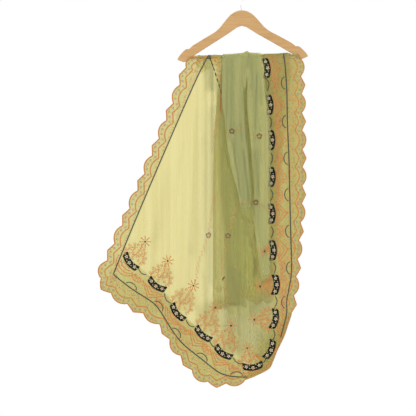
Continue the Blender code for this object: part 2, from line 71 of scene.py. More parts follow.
# Folds of the front: x and z of both ends, height towards the viewer, half width
frontFolds = [
    (-240, -700, -290, -900, 14.0, 95.0), (-104, -430, -84, -1120, 8.0, 24.0),
    (-150, -420, -250, -860, -4.0, 30.0), (-120, -300, -118, -520, 4.0, 18.0),
    (-50, -1030, -24, -1170, 6.0, 26.0), (26, -1050, 30, -1170, 6.0, 24.0),
    (-330, -1040, -380, -1110, 8.0, 48.0), (-250, -1060, -300, -1160, -5.0, 40.0),
    (-190, -1120, -240, -1225, 7.0, 44.0), (-140, -1200, -178, -1310, -5.0, 46.0),
    (-80, -1240, -95, -1350, 9.0, 44.0), (0, -1250, 0, -1340, -6.0, 40.0),
    (80, -1170, 130, -1230, 6.0, 44.0), (132, -380, 140, -960, -4.0, 30.0),
    (188, -380, 196, -1010, 6.0, 30.0), (-330, -640, -345, -700, -6.0, 36.0),
    (-400, -840, -430, -890, 7.0, 42.0), (-240, -400, -262, -460, 5.0, 34.0),
]
# Small creases of the fine shell alone, in the same columns
smallCreases = [
    (-108, -262, -112, -420, 1.6, 5.0), (-99, -262, -98, -390, -1.4, 4.0), (-91, -262, -88, -450, 1.7, 4.5),
    (-82, -262, -78, -380, -1.2, 4.0), (-128, -275, -142, -470, 1.4, 7.0),
    (-113, -470, -112, -800, 1.8, 8.0), (-132, -520, -160, -900, -1.6, 12.0),
    (-180, -560, -240, -900, 1.5, 13.0), (-99, -600, -92, -990, -1.8, 6.0),
    (-76, -500, -70, -880, 1.6, 7.0), (-62, -620, -52, -1010, -1.6, 7.0), (-44, -560, -30, -960, 1.5, 6.0),
    (-20, -760, -6, -1080, -1.7, 8.0), (8, -860, 14, -1130, 1.8, 7.0), (44, -980, 52, -1160, -1.6, 8.0),
    (-36, -990, -18, -1180, 2.0, 7.0), (-60, -1000, -40, -1190, -1.5, 7.0),
    (-210, -930, -230, -1060, 1.5, 12.0), (-280, -820, -310, -960, -1.6, 14.0),
    (-150, -1000, -170, -1150, 1.6, 11.0), (-110, -1090, -120, -1220, -1.6, 10.0),
    (110, -270, 114, -420, 1.2, 8.0), (150, -560, 152, -760, 1.2, 9.0), (170, -300, 176, -520, -1.2, 9.0),
    (120, -780, 124, -960, -1.3, 9.0), (178, -640, 182, -900, 1.4, 8.0),
    (-300, -600, -330, -760, 1.2, 10.0), (-180, -330, -205, -420, -1.2, 8.0),
    (60, -1190, 96, -1290, 1.8, 12.0), (-30, -1230, -34, -1330, 1.7, 10.0),
]
# Where the cloth lies in more layers, and where it is darkened as painted shade, so it is duller and greener:
# amount, soft edge, outline
frontLayerAndShadeAreas = [
    (0.22, 5, [(-97, -400), (-97, -529), (-97, -726), (-85, -828), (-78, -896), (-68, -964), (-58, -1032),
               (-46, -1078), (0, -1080), (-20, -400)]),
    (0.14, 14, [(-84, -232), (-84, -529), (-80, -726), (-70, -828), (-62, -896), (-56, -964), (-50, -1076),
                (14, -1090), (50, -1050), (60, -900), (70, -232)]),
    (0.30, 4, [(-47, -950), (-50, -1076), (14, -1088), (12, -1000), (0, -960)]),
    (1.0, 22, [(-60, -1150), (-56, -1232), (40, -1286), (124, -1220), (114, -930), (84, -930), (64, -1060),
               (26, -1110)]),
    (0.60, 16, [(-60, -1080), (62, -1050), (76, -1120), (60, -1190), (20, -1200), (-50, -1140)]),
    (0.50, 22, [(-160, -1090), (-110, -1210), (-40, -1270), (-30, -1100), (-90, -1060)]),
    (0.72, 18, [(-130, -222), (-90, -222), (-90, -290), (-98, -350), (-116, -350), (-130, -290)]),
]
# Crease lines, sunk into the front and painted darker, partly for cloth doubled there and partly as painted
# shade; below 0 raised and painted lighter, a painted highlight where it is pulled thin: x and z of both
# ends, amount, half width
frontLines = [
    (-106, -250, -110, -360, 0.30, 4.0), (-98, -250, -98, -350, 0.26, 3.5),
    (-90, -262, -86, -380, 0.22, 4.0), (-116, -256, -130, -380, 0.20, 5.0),
    (-84, -300, -76, -520, 0.30, 5.0), (-70, -560, -58, -800, 0.25, 5.0),
    (-58, -620, -52, -900, -0.18, 6.0), (-44, -820, -40, -1000, 0.25, 6.0),
    (-20, -760, -6, -1080, -0.20, 8.0), (-32, -850, -24, -1060, 0.20, 5.0), (8, -860, 14, -1080, 0.22, 6.0),
    (-50, -1076, 14, -1089, 0.35, 2.6), (-48, -960, -50, -1076, 0.25, 3.0),
    (30, -900, 52, -1080, -0.22, 8.0), (60, -880, 70, -1040, 0.24, 6.0), (-10, -1100, 10, -1190, 0.24, 7.0),
    (-36, -1100, -30, -1180, -0.14, 8.0), (-118, -330, -122, -900, 0.24, 5.0),
    (-100, -330, -101, -820, 0.22, 4.0), (-152, -430, -176, -900, 0.16, 8.0),
    (-134, -380, -148, -780, -0.12, 7.0), (-200, -540, -236, -900, 0.12, 10.0),
    (-252, -640, -296, -860, 0.10, 14.0), (-170, -900, -176, -990, 0.20, 12.0),
    (-130, -980, -120, -1110, 0.24, 9.0), (-140, -520, -170, -880, 0.10, 14.0),
    (-230, -620, -290, -860, 0.07, 20.0), (-190, -430, -240, -640, -0.06, 18.0),
    (-101, -270, -99, -560, 0.30, 6.0), (-86, -900, -78, -1050, 0.22, 8.0),
    (-118, -900, -110, -1080, 0.10, 12.0), (2, -776, 30, -802, 0.40, 6.0), (8, -790, 36, -880, 0.55, 6.0),
    (36, -880, 56, -985, 0.55, 4.5), (-107, -420, -105, -1000, 0.30, 9.0),
    (-128, -640, -140, -960, 0.14, 8.0),
]
# Creases on the pleats' front: x and z of both ends, amount, half width. They sink the roll and are painted
# darker, a painted shade; below 0 they raise it and are painted lighter, a painted highlight
pleatLines = [
    (7, -338, 12, -403, 0.75, 2.6), (12, -403, 19, -522, 1.0, 3.2), (19, -522, 24, -560, 0.5, 3.0),
    (24, -560, 36, -685, 0.50, 3.0), (36, -685, 43, -770, 0.45, 3.0), (21, -286, 7, -350, -0.45, 4.0),
    (-42, -532, -18, -664, -0.60, 5.0), (-18, -664, -8, -726, -0.50, 4.0), (-29, -532, -5, -709, 0.40, 4.0),
    (53, -300, 45, -481, 0.35, 3.0), (66, -420, 74, -720, -0.30, 9.0), (-36, -250, -36, -488, 0.22, 5.0),
    (-50, -260, -50, -430, 0.16, 4.0), (-12, -250, -18, -470, -0.22, 6.0), (30, -369, 34, -540, -0.35, 6.0),
    (6, -560, 26, -730, 0.40, 4.5), (-4, -777, 29, -777, -0.45, 4.0), (4, -792, 30, -880, 0.70, 6.0),
    (30, -880, 52, -980, 0.60, 5.0), (40, -800, 62, -900, -0.30, 6.0), (36, -262, 40, -420, 0.18, 4.0),
    (64, -262, 70, -400, 0.20, 4.0), (-2, -470, 2, -520, 0.25, 5.0), (48, -560, 58, -700, 0.25, 5.0),
]
underFoldShape = {
    "left": [(-97, -300), (-97, -471), (-98, -556), (-94, -726), (-86, -828), (-83, -930), (-76, -1032),
             (-69, -1134), (-52, -1182)],
    "low": [(-20, -1204), (26, -1212), (60, -1180), (73, -1110)],
    "right": [(78, -1000), (74, -900), (69, -760), (73, -600), (70, -450), (67, -320)],
    "drop": 10.0, "dropLength": 90.0,
}
# Pleats on the front: s down from the bar's middle, left x, right x, half depth
pleatLeft = {"off": 1.8, "phase": 0.4, "sheer": 0.0, "footSheer": 1.0, "rows": [
    (-9.5, -62, 16, 1.5), (-6.6, -63, 16, 1.6), (-3.3, -64, 16, 1.8), (0, -65, 17, 2.0), (14, -66, 20, 3.4),
    (45, -66, 20, 6.0), (95, -67, 15, 8.5), (150, -66, 10, 10.0), (215, -57, 15, 10.5), (290, -50, 22, 10.0),
    (365, -38, 29, 9.0), (450, -15, 33, 8.0), (505, -4, 32, 5.6), (540, 2, 30, 2.4)]}
pleatRight = {"off": 3.4, "phase": 2.1, "sheer": 0.55, "footSheer": 0.75, "rows": [
    (-9.5, 17, 68, 1.5), (-6.6, 17, 69, 1.6), (-3.3, 18, 70, 1.8), (0, 15, 71, 2.0), (14, 15, 73, 3.2),
    (45, 16, 75, 5.2), (95, 19, 82, 7.4), (150, 18, 89, 9.0), (215, 22, 95, 10.0), (290, 30, 99, 10.0),
    (365, 35, 99, 9.0), (450, 42, 96, 8.0), (520, 40, 96, 7.0), (600, 46, 96, 5.6), (645, 51, 96, 4.8),
    (690, 57, 97, 3.8), (760, 65, 96, 1.8)]}
pleatTurn = {"openDeg": -62.0, "shutDeg": -360.0, "around": 84, "rowStep": 6.0}
backShape = {
    # s down from the crown, left x, right x, pleat depth
    "rows": [(0, -58, 158, 1.0), (14, -60, 160, 3.0), (32, -64, 166, 9.0), (75, -72, 168, 22.0),
             (160, -82, 158, 37.0), (300, -92, 144, 47.0), (460, -96, 132, 51.0), (620, -96, 122, 52.0),
             (760, -95, 114, 53.0), (842, -96, 110, 55.0)],
    # cloth width from the wide border, share of the hanging width, share of the depth
    "widths": [(0, 0.0, 0.10), (45, 0.13, 0.34), (85, 0.24, 0.20), (128, 0.36, 0.42), (165, 0.45, 0.30),
               (200, 0.50, 0.05), (250, 0.54, 1.00), (300, 0.58, 0.06), (345, 0.615, 0.88),
               (392, 0.66, 0.00), (446, 0.70, 1.04), (498, 0.735, 0.10), (544, 0.77, 0.86),
               (590, 0.805, 0.04), (642, 0.84, 1.00), (694, 0.875, 0.12), (740, 0.905, 0.84),
               (788, 0.935, 0.05), (842, 0.965, 0.92), (900, 1.0, 0.14)],
    "gather": 1.3, "gatherWidth": 4.6, "gatherFade": 260, "sway": 2.2,
    "width": 900.0, "scallops": 14, "hemSlope": 26.0, "length": 842.0, "columns": 300, "rowStep": 8.0,
}
turnedShape = {"off": -2.2, "columns": 90, "rows": 18,
               "widths": [(0.0, 10), (0.12, 46), (0.3, 80), (0.5, 90), (0.7, 78), (0.88, 44), (1.0, 10)]}


# Small helpers for paths and tables

def softStep(value):
    value = np.clip(value, 0.0, 1.0)
    return value * value * (3 - 2 * value)


def mix(a, b, share):
    return a + (b - a) * share


def smoothPath(points, step):
    ends = [points[0]] + list(points) + [points[-1]]
    made = []
    for a, b, c, d in zip(ends, ends[1:], ends[2:], ends[3:]):
        a, b, c, d = (np.array(p, float) for p in (a, b, c, d))
        count = max(1, round(float(np.linalg.norm(c - b)) / step))
        for k in range(count):
            t = k / count
            made.append(0.5 * (2 * b + (c - a) * t + (2 * a - 5 * b + 4 * c - d) * t**2
                               + (3 * b - a - 3 * c + d) * t**3))
    made.append(np.array(points[-1], float))
    return np.array(made)


def lengthsAlong(points):
    points = np.asarray(points, float)
    return np.concatenate([[0], np.cumsum(np.linalg.norm(np.diff(points, axis=0), axis=1))])


def along(points, count):
    points = np.asarray(points, float)
    lengths = lengthsAlong(points)
    wanted = np.linspace(0, lengths[-1], count)
    return np.stack([np.interp(wanted, lengths, points[:, k]) for k in range(points.shape[1])], axis=1)


def spaced(points, step):
    return along(points, max(3, round(lengthsAlong(points)[-1] / step) + 1))


def rightOf(path):
    # unit vectors on the right-hand side of a path
    run = np.gradient(path, axis=0)
    side = np.stack([run[:, 1], -run[:, 0]], axis=1)
    return side / np.linalg.norm(side, axis=1)[:, None]


def column(rows, value, index):
    table = np.array(rows, float)
    return np.interp(value, table[:, 0], table[:, index])


def softColumn(rows, value, index):
    # level at each row, as the top of a fold is
    table = np.array(rows, float)
    place = np.interp(value, table[:, 0], np.arange(len(table)))
    low = np.clip(place.astype(int), 0, len(table) - 2)
    return mix(table[low, index], table[low + 1, index], softStep(place - low))


def scallopHeight(turn):
    # pointed and round scallops take turns
    t = turn % 1.0
    rounded = np.sin(np.pi * t) ** 0.8
    pointed = (1 - np.abs(2 * t - 1)) ** 1.1
    return np.where(turn.astype(int) % 2 == 1, rounded, pointed)


def scallopedPath(path, inset=0.0):
    # the edge's own line, or one that repeats it further in
    smooth = smoothPath(path, 6.0)
    scallops = max(1, round(lengthsAlong(smooth)[-1] / cloth["scallopPitch"]))
    base = along(smooth, scallops * cloth["pointsPerScallop"] + 1)
    turn = np.arange(len(base)) / cloth["pointsPerScallop"] + 1e-9
    heights = scallopHeight(turn) * cloth["scallopDepth"] - inset
    return base + rightOf(base) * heights[:, None]


# Where the cloth lies

def barZ(x):
    tilt = math.radians(hanger["tiltDeg"])
    return hanger["humpZ"] - hanger["barBelowHump"] / math.cos(tilt) + x * math.tan(tilt)


def lift(x):
    return sum(height * np.exp(-((x - middle) / half) ** 2) for middle, half, height in cloth["lifts"])


def frontR(x):
    share = softStep((np.abs(x - 4) - cloth["armPassStart"]) / (cloth["armPassEnd"] - cloth["armPassStart"]))
    return mix(cloth["frontR"], cloth["armPassR"], share) + lift(x)


def crown(x):
    return barZ(x) + frontR(x) * math.pi / 2


def softLines(x, z, rows):
    # soft ridges along lines: x and z of both ends, amount, half width
    total = 0.0
    for x0, z0, x1, z1, amount, half in rows:
        length = math.hypot(x1 - x0, z1 - z0)
        runX, runZ = (x1 - x0) / length, (z1 - z0) / length
        forward = (x - x0) * runX + (z - z0) * runZ
        across = -(x - x0) * runZ + (z - z0) * runX
        past = np.maximum(np.maximum(-forward, forward - length), 0.0)
        total = total + amount * np.exp(-(across / half) ** 2 - (past / (1.6 * half)) ** 2)
    return total


def foldHeight(x, z):
    swag = cloth["swagForward"] * softStep((barZ(x) - z) / 1000)
    creases = softLines(x, z, smallCreases) - cloth["lineDepth"] * softLines(x, z, frontLines)
    return (swag + softLines(x, z, frontFolds) + creases) * softStep((barZ(x) - z) / cloth["foldFade"])


def onFront(x, s, off=0.0):
    x, s = np.asarray(x, float), np.asarray(s, float)
    z, around = barZ(x), frontR(x)
    r = around + off
    settled = lift(x) * softStep((z - s) / cloth["liftFade"])
    angle = (s - z) / around
    hanging = s <= z
    behind = angle > math.pi
    y = np.where(hanging, settled - r - foldHeight(x, s), np.where(behind, r, -r * np.cos(angle)))
    up = np.where(hanging, s, np.where(behind, z - (s - z - math.pi * around), z + r * np.sin(angle)))
    return np.stack([x, y, up], axis=-1) * mm


def underPlace(x, s):
    drop = barZ(x) - s
    depth = underFoldShape["drop"] * softStep(drop / underFoldShape["dropLength"])
    lifted = (frontR(x) - cloth["frontR"]) * (1 - softStep(drop / cloth["liftFade"]))
    return onFront(x, s, -(cloth["wall"] + cloth["clear"]) - depth - lifted)


def pleatSection(pleat, s):
    # left, right and half depth of the roll, smooth from row to row
    fine = smoothPath(pleat["rows"], 12.0)
    fine = fine[np.argsort(fine[:, 0])]
    return [np.interp(s, fine[:, 0], fine[:, k]) for k in (1, 2, 3)]


def pleatOut(pleat, turn, s, half, x):
    # how far the roll stands out: an oval with soft uneven gathers and creases on its front
    wave = 0.16 * np.cos(5 * turn + pleat["phase"] + s / 150) + 0.10 * np.cos(11 * turn - s / 210)
    front = np.clip(np.sin(turn), 0, 1)
    creases = cloth["pleatLineDepth"] * softLines(x, barZ(x) - s, pleatLines) * softStep(s / 60)
    return pleat["off"] + half + half * np.sin(turn) + (half * wave * softStep(s / 60) - creases) * front


def pleatX(pleat, turn, s):
    # x on the roll, and the roll's half depth there
    left, right, half = pleatSection(pleat, s)
    return (left + right) / 2 + (right - left) / 2 * np.cos(turn), half


def onPleat(pleat, turn, s):
    x, half = pleatX(pleat, turn, s)
    return onFront(x, barZ(x) - s, pleatOut(pleat, turn, s, half, x))


def onPleatFront(pleat, x, z, off=0.0):
    # the front of the roll at an x and z
    s = barZ(x) - z
    left, right, half = pleatSection(pleat, s)
    c = np.clip((x - (left + right) / 2) / ((right - left) / 2), -0.985, 0.985)
    turn = -(2 * np.pi - np.arccos(c))
    return onFront(x, z, pleatOut(pleat, turn, s, half, x) + off)


def backR(x):
    return frontR(x) + cloth["wall"] + 2 * cloth["clear"]


def gatherWave(width):
    # uneven small gathers across the width
    return np.sin(width / backShape["gatherWidth"] + 1.2 * np.sin(width / 31))


def backPlain(width, s):
    rows, widths = backShape["rows"], backShape["widths"]
    left, right, depth = (column(rows, s, k) for k in (1, 2, 3))
    gathered = 1 - softStep(s / backShape["gatherFade"])
    ripple = gathered * backShape["gather"] * (1 + gatherWave(width)) * softStep(s / 12)
    x = mix(right, left, column(widths, width, 1))
    sway = backShape["sway"] * np.sin(s / 140 + width / 90) * softStep(s / 200)
    r = backR(x) + depth * softColumn(widths, width, 2) + ripple
    z = barZ(x)
    angle = math.pi / 2 + s / backR(x)
    over = angle <= math.pi
    y = np.where(over, -r * np.cos(angle), r)
    up = np.where(over, z + r * np.sin(angle), z - (s - backR(x) * math.pi / 2))
    return np.stack([x + sway * 0.6, y, up], axis=-1) * mm


def onBack(width, s, off=0.0):
    # off runs along the cloth's own normal, away from the bar
    width, s = np.asarray(width, float), np.asarray(s, float)
    place = backPlain(width, s)
    across = backPlain(width + 0.5, s) - backPlain(width - 0.5, s)
    down = backPlain(width, s + 0.5) - backPlain(width, s - 0.5)
    normal = -np.cross(across, down)
    normal /= np.linalg.norm(normal, axis=-1)[..., None] + 1e-12
    return place + normal * np.asarray(off)[..., None] * mm


# Meshes

def meshObject(name, points, faces, smooth=True):
    data = bpy.data.meshes.new(name)
    data.from_pydata([tuple(p) for p in points], [], [tuple(int(k) for k in f) for f in faces])
    if smooth:
        data.shade_smooth()
    item = bpy.data.objects.new(name, data)
    bpy.context.scene.collection.objects.link(item)
    return item


def choose(item):
    bpy.ops.object.select_all(action="DESELECT")
    bpy.context.view_layer.objects.active = item
    item.select_set(True)


def applyModifier(item, name, kind, **settings):
    choose(item)
    modifier = item.modifiers.new(name, kind)
    for key, value in settings.items():
        setattr(modifier, key, value)
    bpy.ops.object.modifier_apply(modifier=modifier.name)


def clothShell(item, look, node):
    # a thin shell that takes the place of a cloth solid
    item.data.materials.append(look)
    applyModifier(item, "Thin shell", "SOLIDIFY", thickness=cloth["shell"] * mm, offset=0.0)
    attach(item, "root")
    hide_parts(node)
    return item


def insideOutline(points, corners):
    # True for points inside, and each one's distance to the outline
    nxt = np.roll(corners, -1, axis=0)
    run = nxt - corners
    inside = np.zeros(len(points), bool)
    gap = np.full(len(points), 1e9)
    for start in range(0, len(points), 4000):
        part = points[start:start + 4000, None, :]
        rise = np.where(run[:, 1] == 0, 1e-9, run[:, 1])
        beyond = part[:, :, 0] < run[:, 0] * (part[:, :, 1] - corners[:, 1]) / rise + corners[:, 0]
        crossing = ((corners[:, 1] > part[:, :, 1]) != (nxt[:, 1] > part[:, :, 1])) & beyond
        share = np.clip(((part - corners) * run).sum(axis=2) / (run**2).sum(axis=1), 0, 1)
        away = np.linalg.norm(corners + run * share[:, :, None] - part, axis=2)
        inside[start:start + 4000] = crossing.sum(axis=1) % 2 == 1
        gap[start:start + 4000] = away.min(axis=1)
    return inside, gap


def depthInside(x, s, outline):
    # distance to an outline, below 0 outside it
    inside, gap = insideOutline(np.stack([x, s], axis=1), np.array(outline, float))
    return np.where(inside, gap, -gap)


def softAreas(x, s, areas):
    # what soft-edged outlines add at a point: amount, soft edge, outline
    total = 0.0
    for amount, soft, outline in areas:
        total = total + amount * softStep((depthInside(x, s, outline) + soft) / (2 * soft))
    return total


def stretched(x, s):
    z = barZ(x)
    return np.where(s <= z, s, z + (s - z) * cloth["barStretch"])


def unstretched(x, p):
    z = barZ(x)
    return np.where(p <= z, p, z + (p - z) / cloth["barStretch"])


def pointValues(item, values, *at):
    # how worked, how layered and painted with shade, and how sheer the cloth is at each point
    for key, value in values.items():
        attribute = item.data.attributes.new(key, "FLOAT", "POINT")
        attribute.data.foreach_set("value", np.clip(value(*at), 0.0, 1.0).astype(np.float32))


def netShell(name, node, outline, place, look, values):
    # an even net of points inside an outline, laid where place says
    net = cloth["net"]
    outline = np.array(outline, float)
    outline = outline[np.linalg.norm(outline - np.roll(outline, 1, axis=0), axis=1) > 0.3]
    edge = np.stack([outline[:, 0], stretched(outline[:, 0], outline[:, 1])], axis=1)
    edge = closedSpaced(edge, net)
    low, high = edge.min(axis=0), edge.max(axis=0)
    x = np.arange(low[0], high[0], net)
    lattice = []
    step = math.radians(cloth["turnStepDeg"]) * cloth["frontR"] * cloth["barStretch"]
    tops = np.arange(0, max(0.0, high[1] - barZ(0)) + 12, step)
    drops = np.concatenate([-tops[::-1], np.arange(net * 0.87, barZ(0) - low[1] + 14, net * 0.87)])
    for j, drop in enumerate(drops):
        row = x + (j % 2) * net / 2
        lattice.append(np.stack([row, barZ(row) - drop], axis=1))
    lattice = np.concatenate(lattice)
    inside, gap = insideOutline(lattice, edge)
    inner = lattice[inside & (gap > net * 0.45)]
    points = [Vector(p) for p in np.concatenate([edge, inner]).tolist()]
    flat, _, faces, *_ = delaunay_2d_cdt(points, [], [list(range(len(edge)))], 1, 1e-4)
    flat = np.array([tuple(p) for p in flat])
    x, s = flat[:, 0], unstretched(flat[:, 0], flat[:, 1])
    item = meshObject(name, place(x, s), faces)
    pointValues(item, values, x, s)
    print(name, len(flat), "points")
    return clothShell(item, look, node)


def closedSpaced(outline, step):
    # extra points on the long straight runs of a closed outline
    made = []
    for a, b in zip(outline, np.roll(outline, -1, axis=0)):
        count = max(1, round(float(np.linalg.norm(b - a)) / step))
        made += [a + (b - a) * k / count for k in range(count)]
    return np.array(made)


def gridFaces(across, down):
    i, j = np.meshgrid(np.arange(across), np.arange(down), indexing="ij")
    a = i * (down + 1) + j
    return np.stack([a, a + 1, a + down + 2, a + down + 1], axis=-1).reshape(-1, 4)


def gridShell(name, node, u, v, place, look, values, flip=False):
    # a shell over an even grid of two lists of values
    across, fall = np.meshgrid(u, v, indexing="ij")
    across, fall = across.ravel(), fall.ravel()
    faces = gridFaces(len(u) - 1, len(v) - 1)
    if flip:
        faces = faces[:, ::-1]
    item = meshObject(name, place(across, fall), faces)
    pointValues(item, values, across, fall)
    print(name, len(across), "points")
    return clothShell(item, look, node)


# Stitching in mm: every line is a low four-sided cord on the cloth, every petal, leaf and bead a low boss

stitch = {
    "surface": 0.75, "sunk": 0.12, "step": 3.0, "cordWidth": 4.2, "cordHeight": 1.3, "secondInset": 24.0,
    "secondWidth": 4.0, "darkWidth": 4.0, "arcWidth": 3.0, "fineWidth": 3.2, "fineHeight": 0.5,
}


def cordPieces(routes, width, height, place, off):
    points, faces, total = [], [], 0
    for route in routes:
        path = spaced(route, stitch["step"])
        n = len(path)
        side = rightOf(path)
        # the first two points at each end are narrower
        taper = np.minimum(1.0, 0.35 + np.minimum(np.arange(n), np.arange(n)[::-1]) * 0.5)[:, None]
        left, right = path + side * taper * width / 2, path - side * taper * width / 2
        ring = np.stack([
            place(left[:, 0], left[:, 1], np.full(n, off)),
            place(path[:, 0], path[:, 1], np.full(n, off + height)),
            place(right[:, 0], right[:, 1], np.full(n, off)),
            place(path[:, 0], path[:, 1], np.full(n, off - stitch["sunk"])),
        ], axis=1)
        points.append(ring.reshape(-1, 3))
        base = total + np.arange(n - 1)[:, None] * 4
        k = np.arange(4)
        nxt = (k + 1) % 4
        quads = np.stack([base + k, base + 4 + k, base + 4 + nxt, base + nxt], axis=-1).reshape(-1, 4)
        faces += quads.tolist()
        faces.append([total + k for k in (0, 1, 2, 3)])
        faces.append([total + (n - 1) * 4 + k for k in (3, 2, 1, 0)])
        total += n * 4
    return np.concatenate(points), faces


def bossPieces(places, length, width, height, place, off, sides=4):
    # places: x, s and turn of each; a rim of sides points, a top and an underside
    places = np.array(places, float).reshape(-1, 3)
    n = len(places)
    length = np.broadcast_to(np.asarray(length, float), (n,))
    width = np.broadcast_to(np.asarray(width, float), (n,))
    rim = np.arange(sides) / sides * 2 * np.pi
    u = np.cos(rim)[None, :] * length[:, None] / 2
    v = np.sin(rim)[None, :] * width[:, None] / 2
    turn = places[:, 2][:, None]
    x = places[:, 0][:, None] + u * np.cos(turn) - v * np.sin(turn)
    s = places[:, 1][:, None] + u * np.sin(turn) + v * np.cos(turn)
    x = np.concatenate([x, places[:, :1], places[:, :1]], axis=1)
    s = np.concatenate([s, places[:, 1:2], places[:, 1:2]], axis=1)
    offs = np.repeat([[off] * sides + [off + height, off - stitch["sunk"]]], n, axis=0)
    points = place(x.ravel(), s.ravel(), offs.ravel())
    k = np.arange(sides)
    nxt = (k + 1) % sides
    upper = np.stack([k, nxt, np.full(sides, sides)], axis=1)
    lower = np.stack([nxt, k, np.full(sides, sides + 1)], axis=1)
    one = np.concatenate([upper, lower])
    faces = (np.arange(n)[:, None, None] * (sides + 2) + one[None]).reshape(-1, 3)
    return points, faces.tolist()


def stitched(name, parts, look):
    # one object from several lists of points and faces
    parts = [part for part in parts if len(part[1])]
    points, faces, total = [], [], 0
    for some, its in parts:
        points.append(some)
        faces += [[k + total for k in face] for face in its]
        total += len(some)
    item = meshObject(name, np.concatenate(points), faces, smooth=False)
    choose(item)
    bpy.ops.object.mode_set(mode="EDIT")
    bpy.ops.mesh.select_all(action="SELECT")
    bpy.ops.mesh.normals_make_consistent(inside=False)
    bpy.ops.object.mode_set(mode="OBJECT")
    item.data.materials.append(look)
    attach(item, "root")
    print(name, len(faces), "faces")
    return item


# Materials

def hexColour(text):
    parts = [int(text[k:k + 2], 16) / 255 for k in (1, 3, 5)]
    linear = [p / 12.92 if p <= 0.04045 else ((p + 0.055) / 1.055) ** 2.4 for p in parts]
    return (*linear, 1.0)


def addNode(tree, kind, inputs, output=0, stops=(), **settings):
    # adds a node and gives one of its outputs; an input takes an output, a hex colour or a value
    node = tree.nodes.new("ShaderNode" + kind)
    for key, value in settings.items():
        setattr(node, key, value)
    for key, value in inputs.items():
        if isinstance(value, bpy.types.NodeSocket):
            tree.links.new(value, node.inputs[key])
        else:
            node.inputs[key].default_value = hexColour(value) if isinstance(value, str) else value
    for k, (at, colour) in enumerate(stops):
        element = node.color_ramp.elements[k] if k < 2 else node.color_ramp.elements.new(at)
        element.position = at
        element.color = hexColour(colour)
    return node.outputs[output] if len(node.outputs) else None


def newMaterial(name):
    # an empty material, its tree, and the place on the piece in metres
    made = bpy.data.materials.new(name)
    made.use_nodes = True
    tree = made.node_tree
    tree.nodes.clear()
    return made, tree, addNode(tree, "TexCoord", {}, "Object")


def layOver(tree, colour, layers):
    # colours laid over each other: how much of each one shows, and the colour
    for share, over in layers:
        colour = addNode(tree, "Mix", {0: share, 6: colour, 7: over}, 2, data_type="RGBA")
    return colour


def organza(name, look):
    # silk organza, plain weave, shot yellow and green: one layer glows, several turn dull green
    made, tree, place = newMaterial(name)
    # ground: 1 on the worked borders; deep: more layers of cloth, and painted shade and highlight along
    # creases and gathers; thin: an edge that fades out
    ground, deep, thin = (addNode(tree, "Attribute", {}, "Fac", attribute_name=key)
                          for key in ("ground", "deep", "thin"))
    field, whole = (addNode(tree, "MapRange", {0: value, 3: 1.0, 4: 0.0}) for value in (ground, thin))
    # warp and weft really lie 0.3 mm apart; drawn every 1.4 mm, so that they show
    wave = {"Vector": place, "Scale": math.pi / (20 * 1.4 * mm), "Distortion": 1.0, "Detail": 1.0}
    warp, weft = (addNode(tree, "TexWave", wave, "Fac", bands_direction=axis) for axis in ("X", "Z"))
    weave = addNode(tree, "Math", {0: warp, 1: weft}, operation="MULTIPLY")
    # slubs: long thin streaks down the cloth, 6 mm wide and 220 mm long
    long = addNode(tree, "Mapping", {"Vector": place, "Scale": [1 / (size * mm) for size in (6, 50, 220)]})
    streak = addNode(tree, "TexNoise", {"Vector": long, "Scale": 1.0, "Detail": 4.0, "Roughness": 0.6})
    slubs = addNode(tree, "Math", {0: streak, 1: 0.2}, operation="MULTIPLY")
    # soft stripes where the hanging cloth gathers, 16 mm wide
    wide = addNode(tree, "Mapping", {"Vector": place, "Scale": [1 / (size * mm) for size in (16, 200, 900)]})
    band = addNode(tree, "TexNoise", {"Vector": wide, "Scale": 1.0, "Detail": 2.0})
    # embroidered ground of the borders: stitches a few mm long in copper, green and mauve
    stitches = {"Vector": place, "Scale": 1 / (8.5 * mm), "Detail": 2.5, "Roughness": 0.65}
    border = addNode(tree, "ValToRGB", {"Fac": addNode(tree, "TexNoise", stitches)}, stops=[
        (0.30, look["borderGreen"]), (0.52, look["borderTan"]), (0.70, look["borderCopper"])])
    flowers = addNode(tree, "TexVoronoi", {"Vector": place, "Scale": 1 / (11 * mm)})
    petals = addNode(tree, "MapRange", {0: flowers, 1: 0.10, 2: 0.24, 3: 1.0, 4: 0.0})
    border = layOver(tree, border, [(petals, look["borderMauve"])])
    # duller, greener colour where the cloth lies in more layers and where shade is painted
    layersAndPaintedShade = addNode(tree, "Math", {0: deep, 1: field}, operation="MULTIPLY")
    thread = layOver(tree, look["thread"], [(ground, border), (slubs, look["streak"]),
                                            (layersAndPaintedShade, look["deepThread"])])
    glow = layOver(tree, look["glow"], [(ground, border), (layersAndPaintedShade, look["deepGlow"])])
    normal = addNode(tree, "Bump", {"Height": weave, "Strength": 0.25, "Distance": 0.4 * mm})
    front = addNode(tree, "BsdfPrincipled", {
        "Base Color": thread, "Normal": normal, "Roughness": 0.5, "Sheen Weight": look["sheen"],
        "Sheen Roughness": 0.4, "Specular IOR Level": 0.25,
    })
    behind = addNode(tree, "BsdfTranslucent", {"Color": glow})
    threads = addNode(tree, "MixShader", {0: look["glowShare"], 1: front, 2: behind})
    gaps = addNode(tree, "BsdfTransparent", {"Color": layOver(tree, look["tint"], [(thin, "#ffffff")])})
    # how much of the light the threads stop, with what streaks, weave and stripes add around their middles
    more = addNode(tree, "MapRange", {0: ground, 3: look["deepCover"], 4: look["deepBorder"]})
    cover = addNode(tree, "MapRange", {0: ground, 3: look["cover"], 4: look["borderCover"]})
    cover = addNode(tree, "Math", {0: deep, 1: more, 2: cover}, operation="MULTIPLY_ADD")
    for uneven, middle, amount in ((streak, 0.5, 0.10), (weave, 0.25, 0.10), (band, 0.5, 0.30)):
        around = addNode(tree, "Math", {0: uneven, 1: middle}, operation="SUBTRACT")
        cover = addNode(tree, "Math", {0: around, 1: amount, 2: cover}, operation="MULTIPLY_ADD")
    cover = addNode(tree, "Math", {0: cover, 1: whole}, operation="MULTIPLY")
    surface = addNode(tree, "MixShader", {0: cover, 1: gaps, 2: threads})
    addNode(tree, "OutputMaterial", {"Surface": surface})
    return made


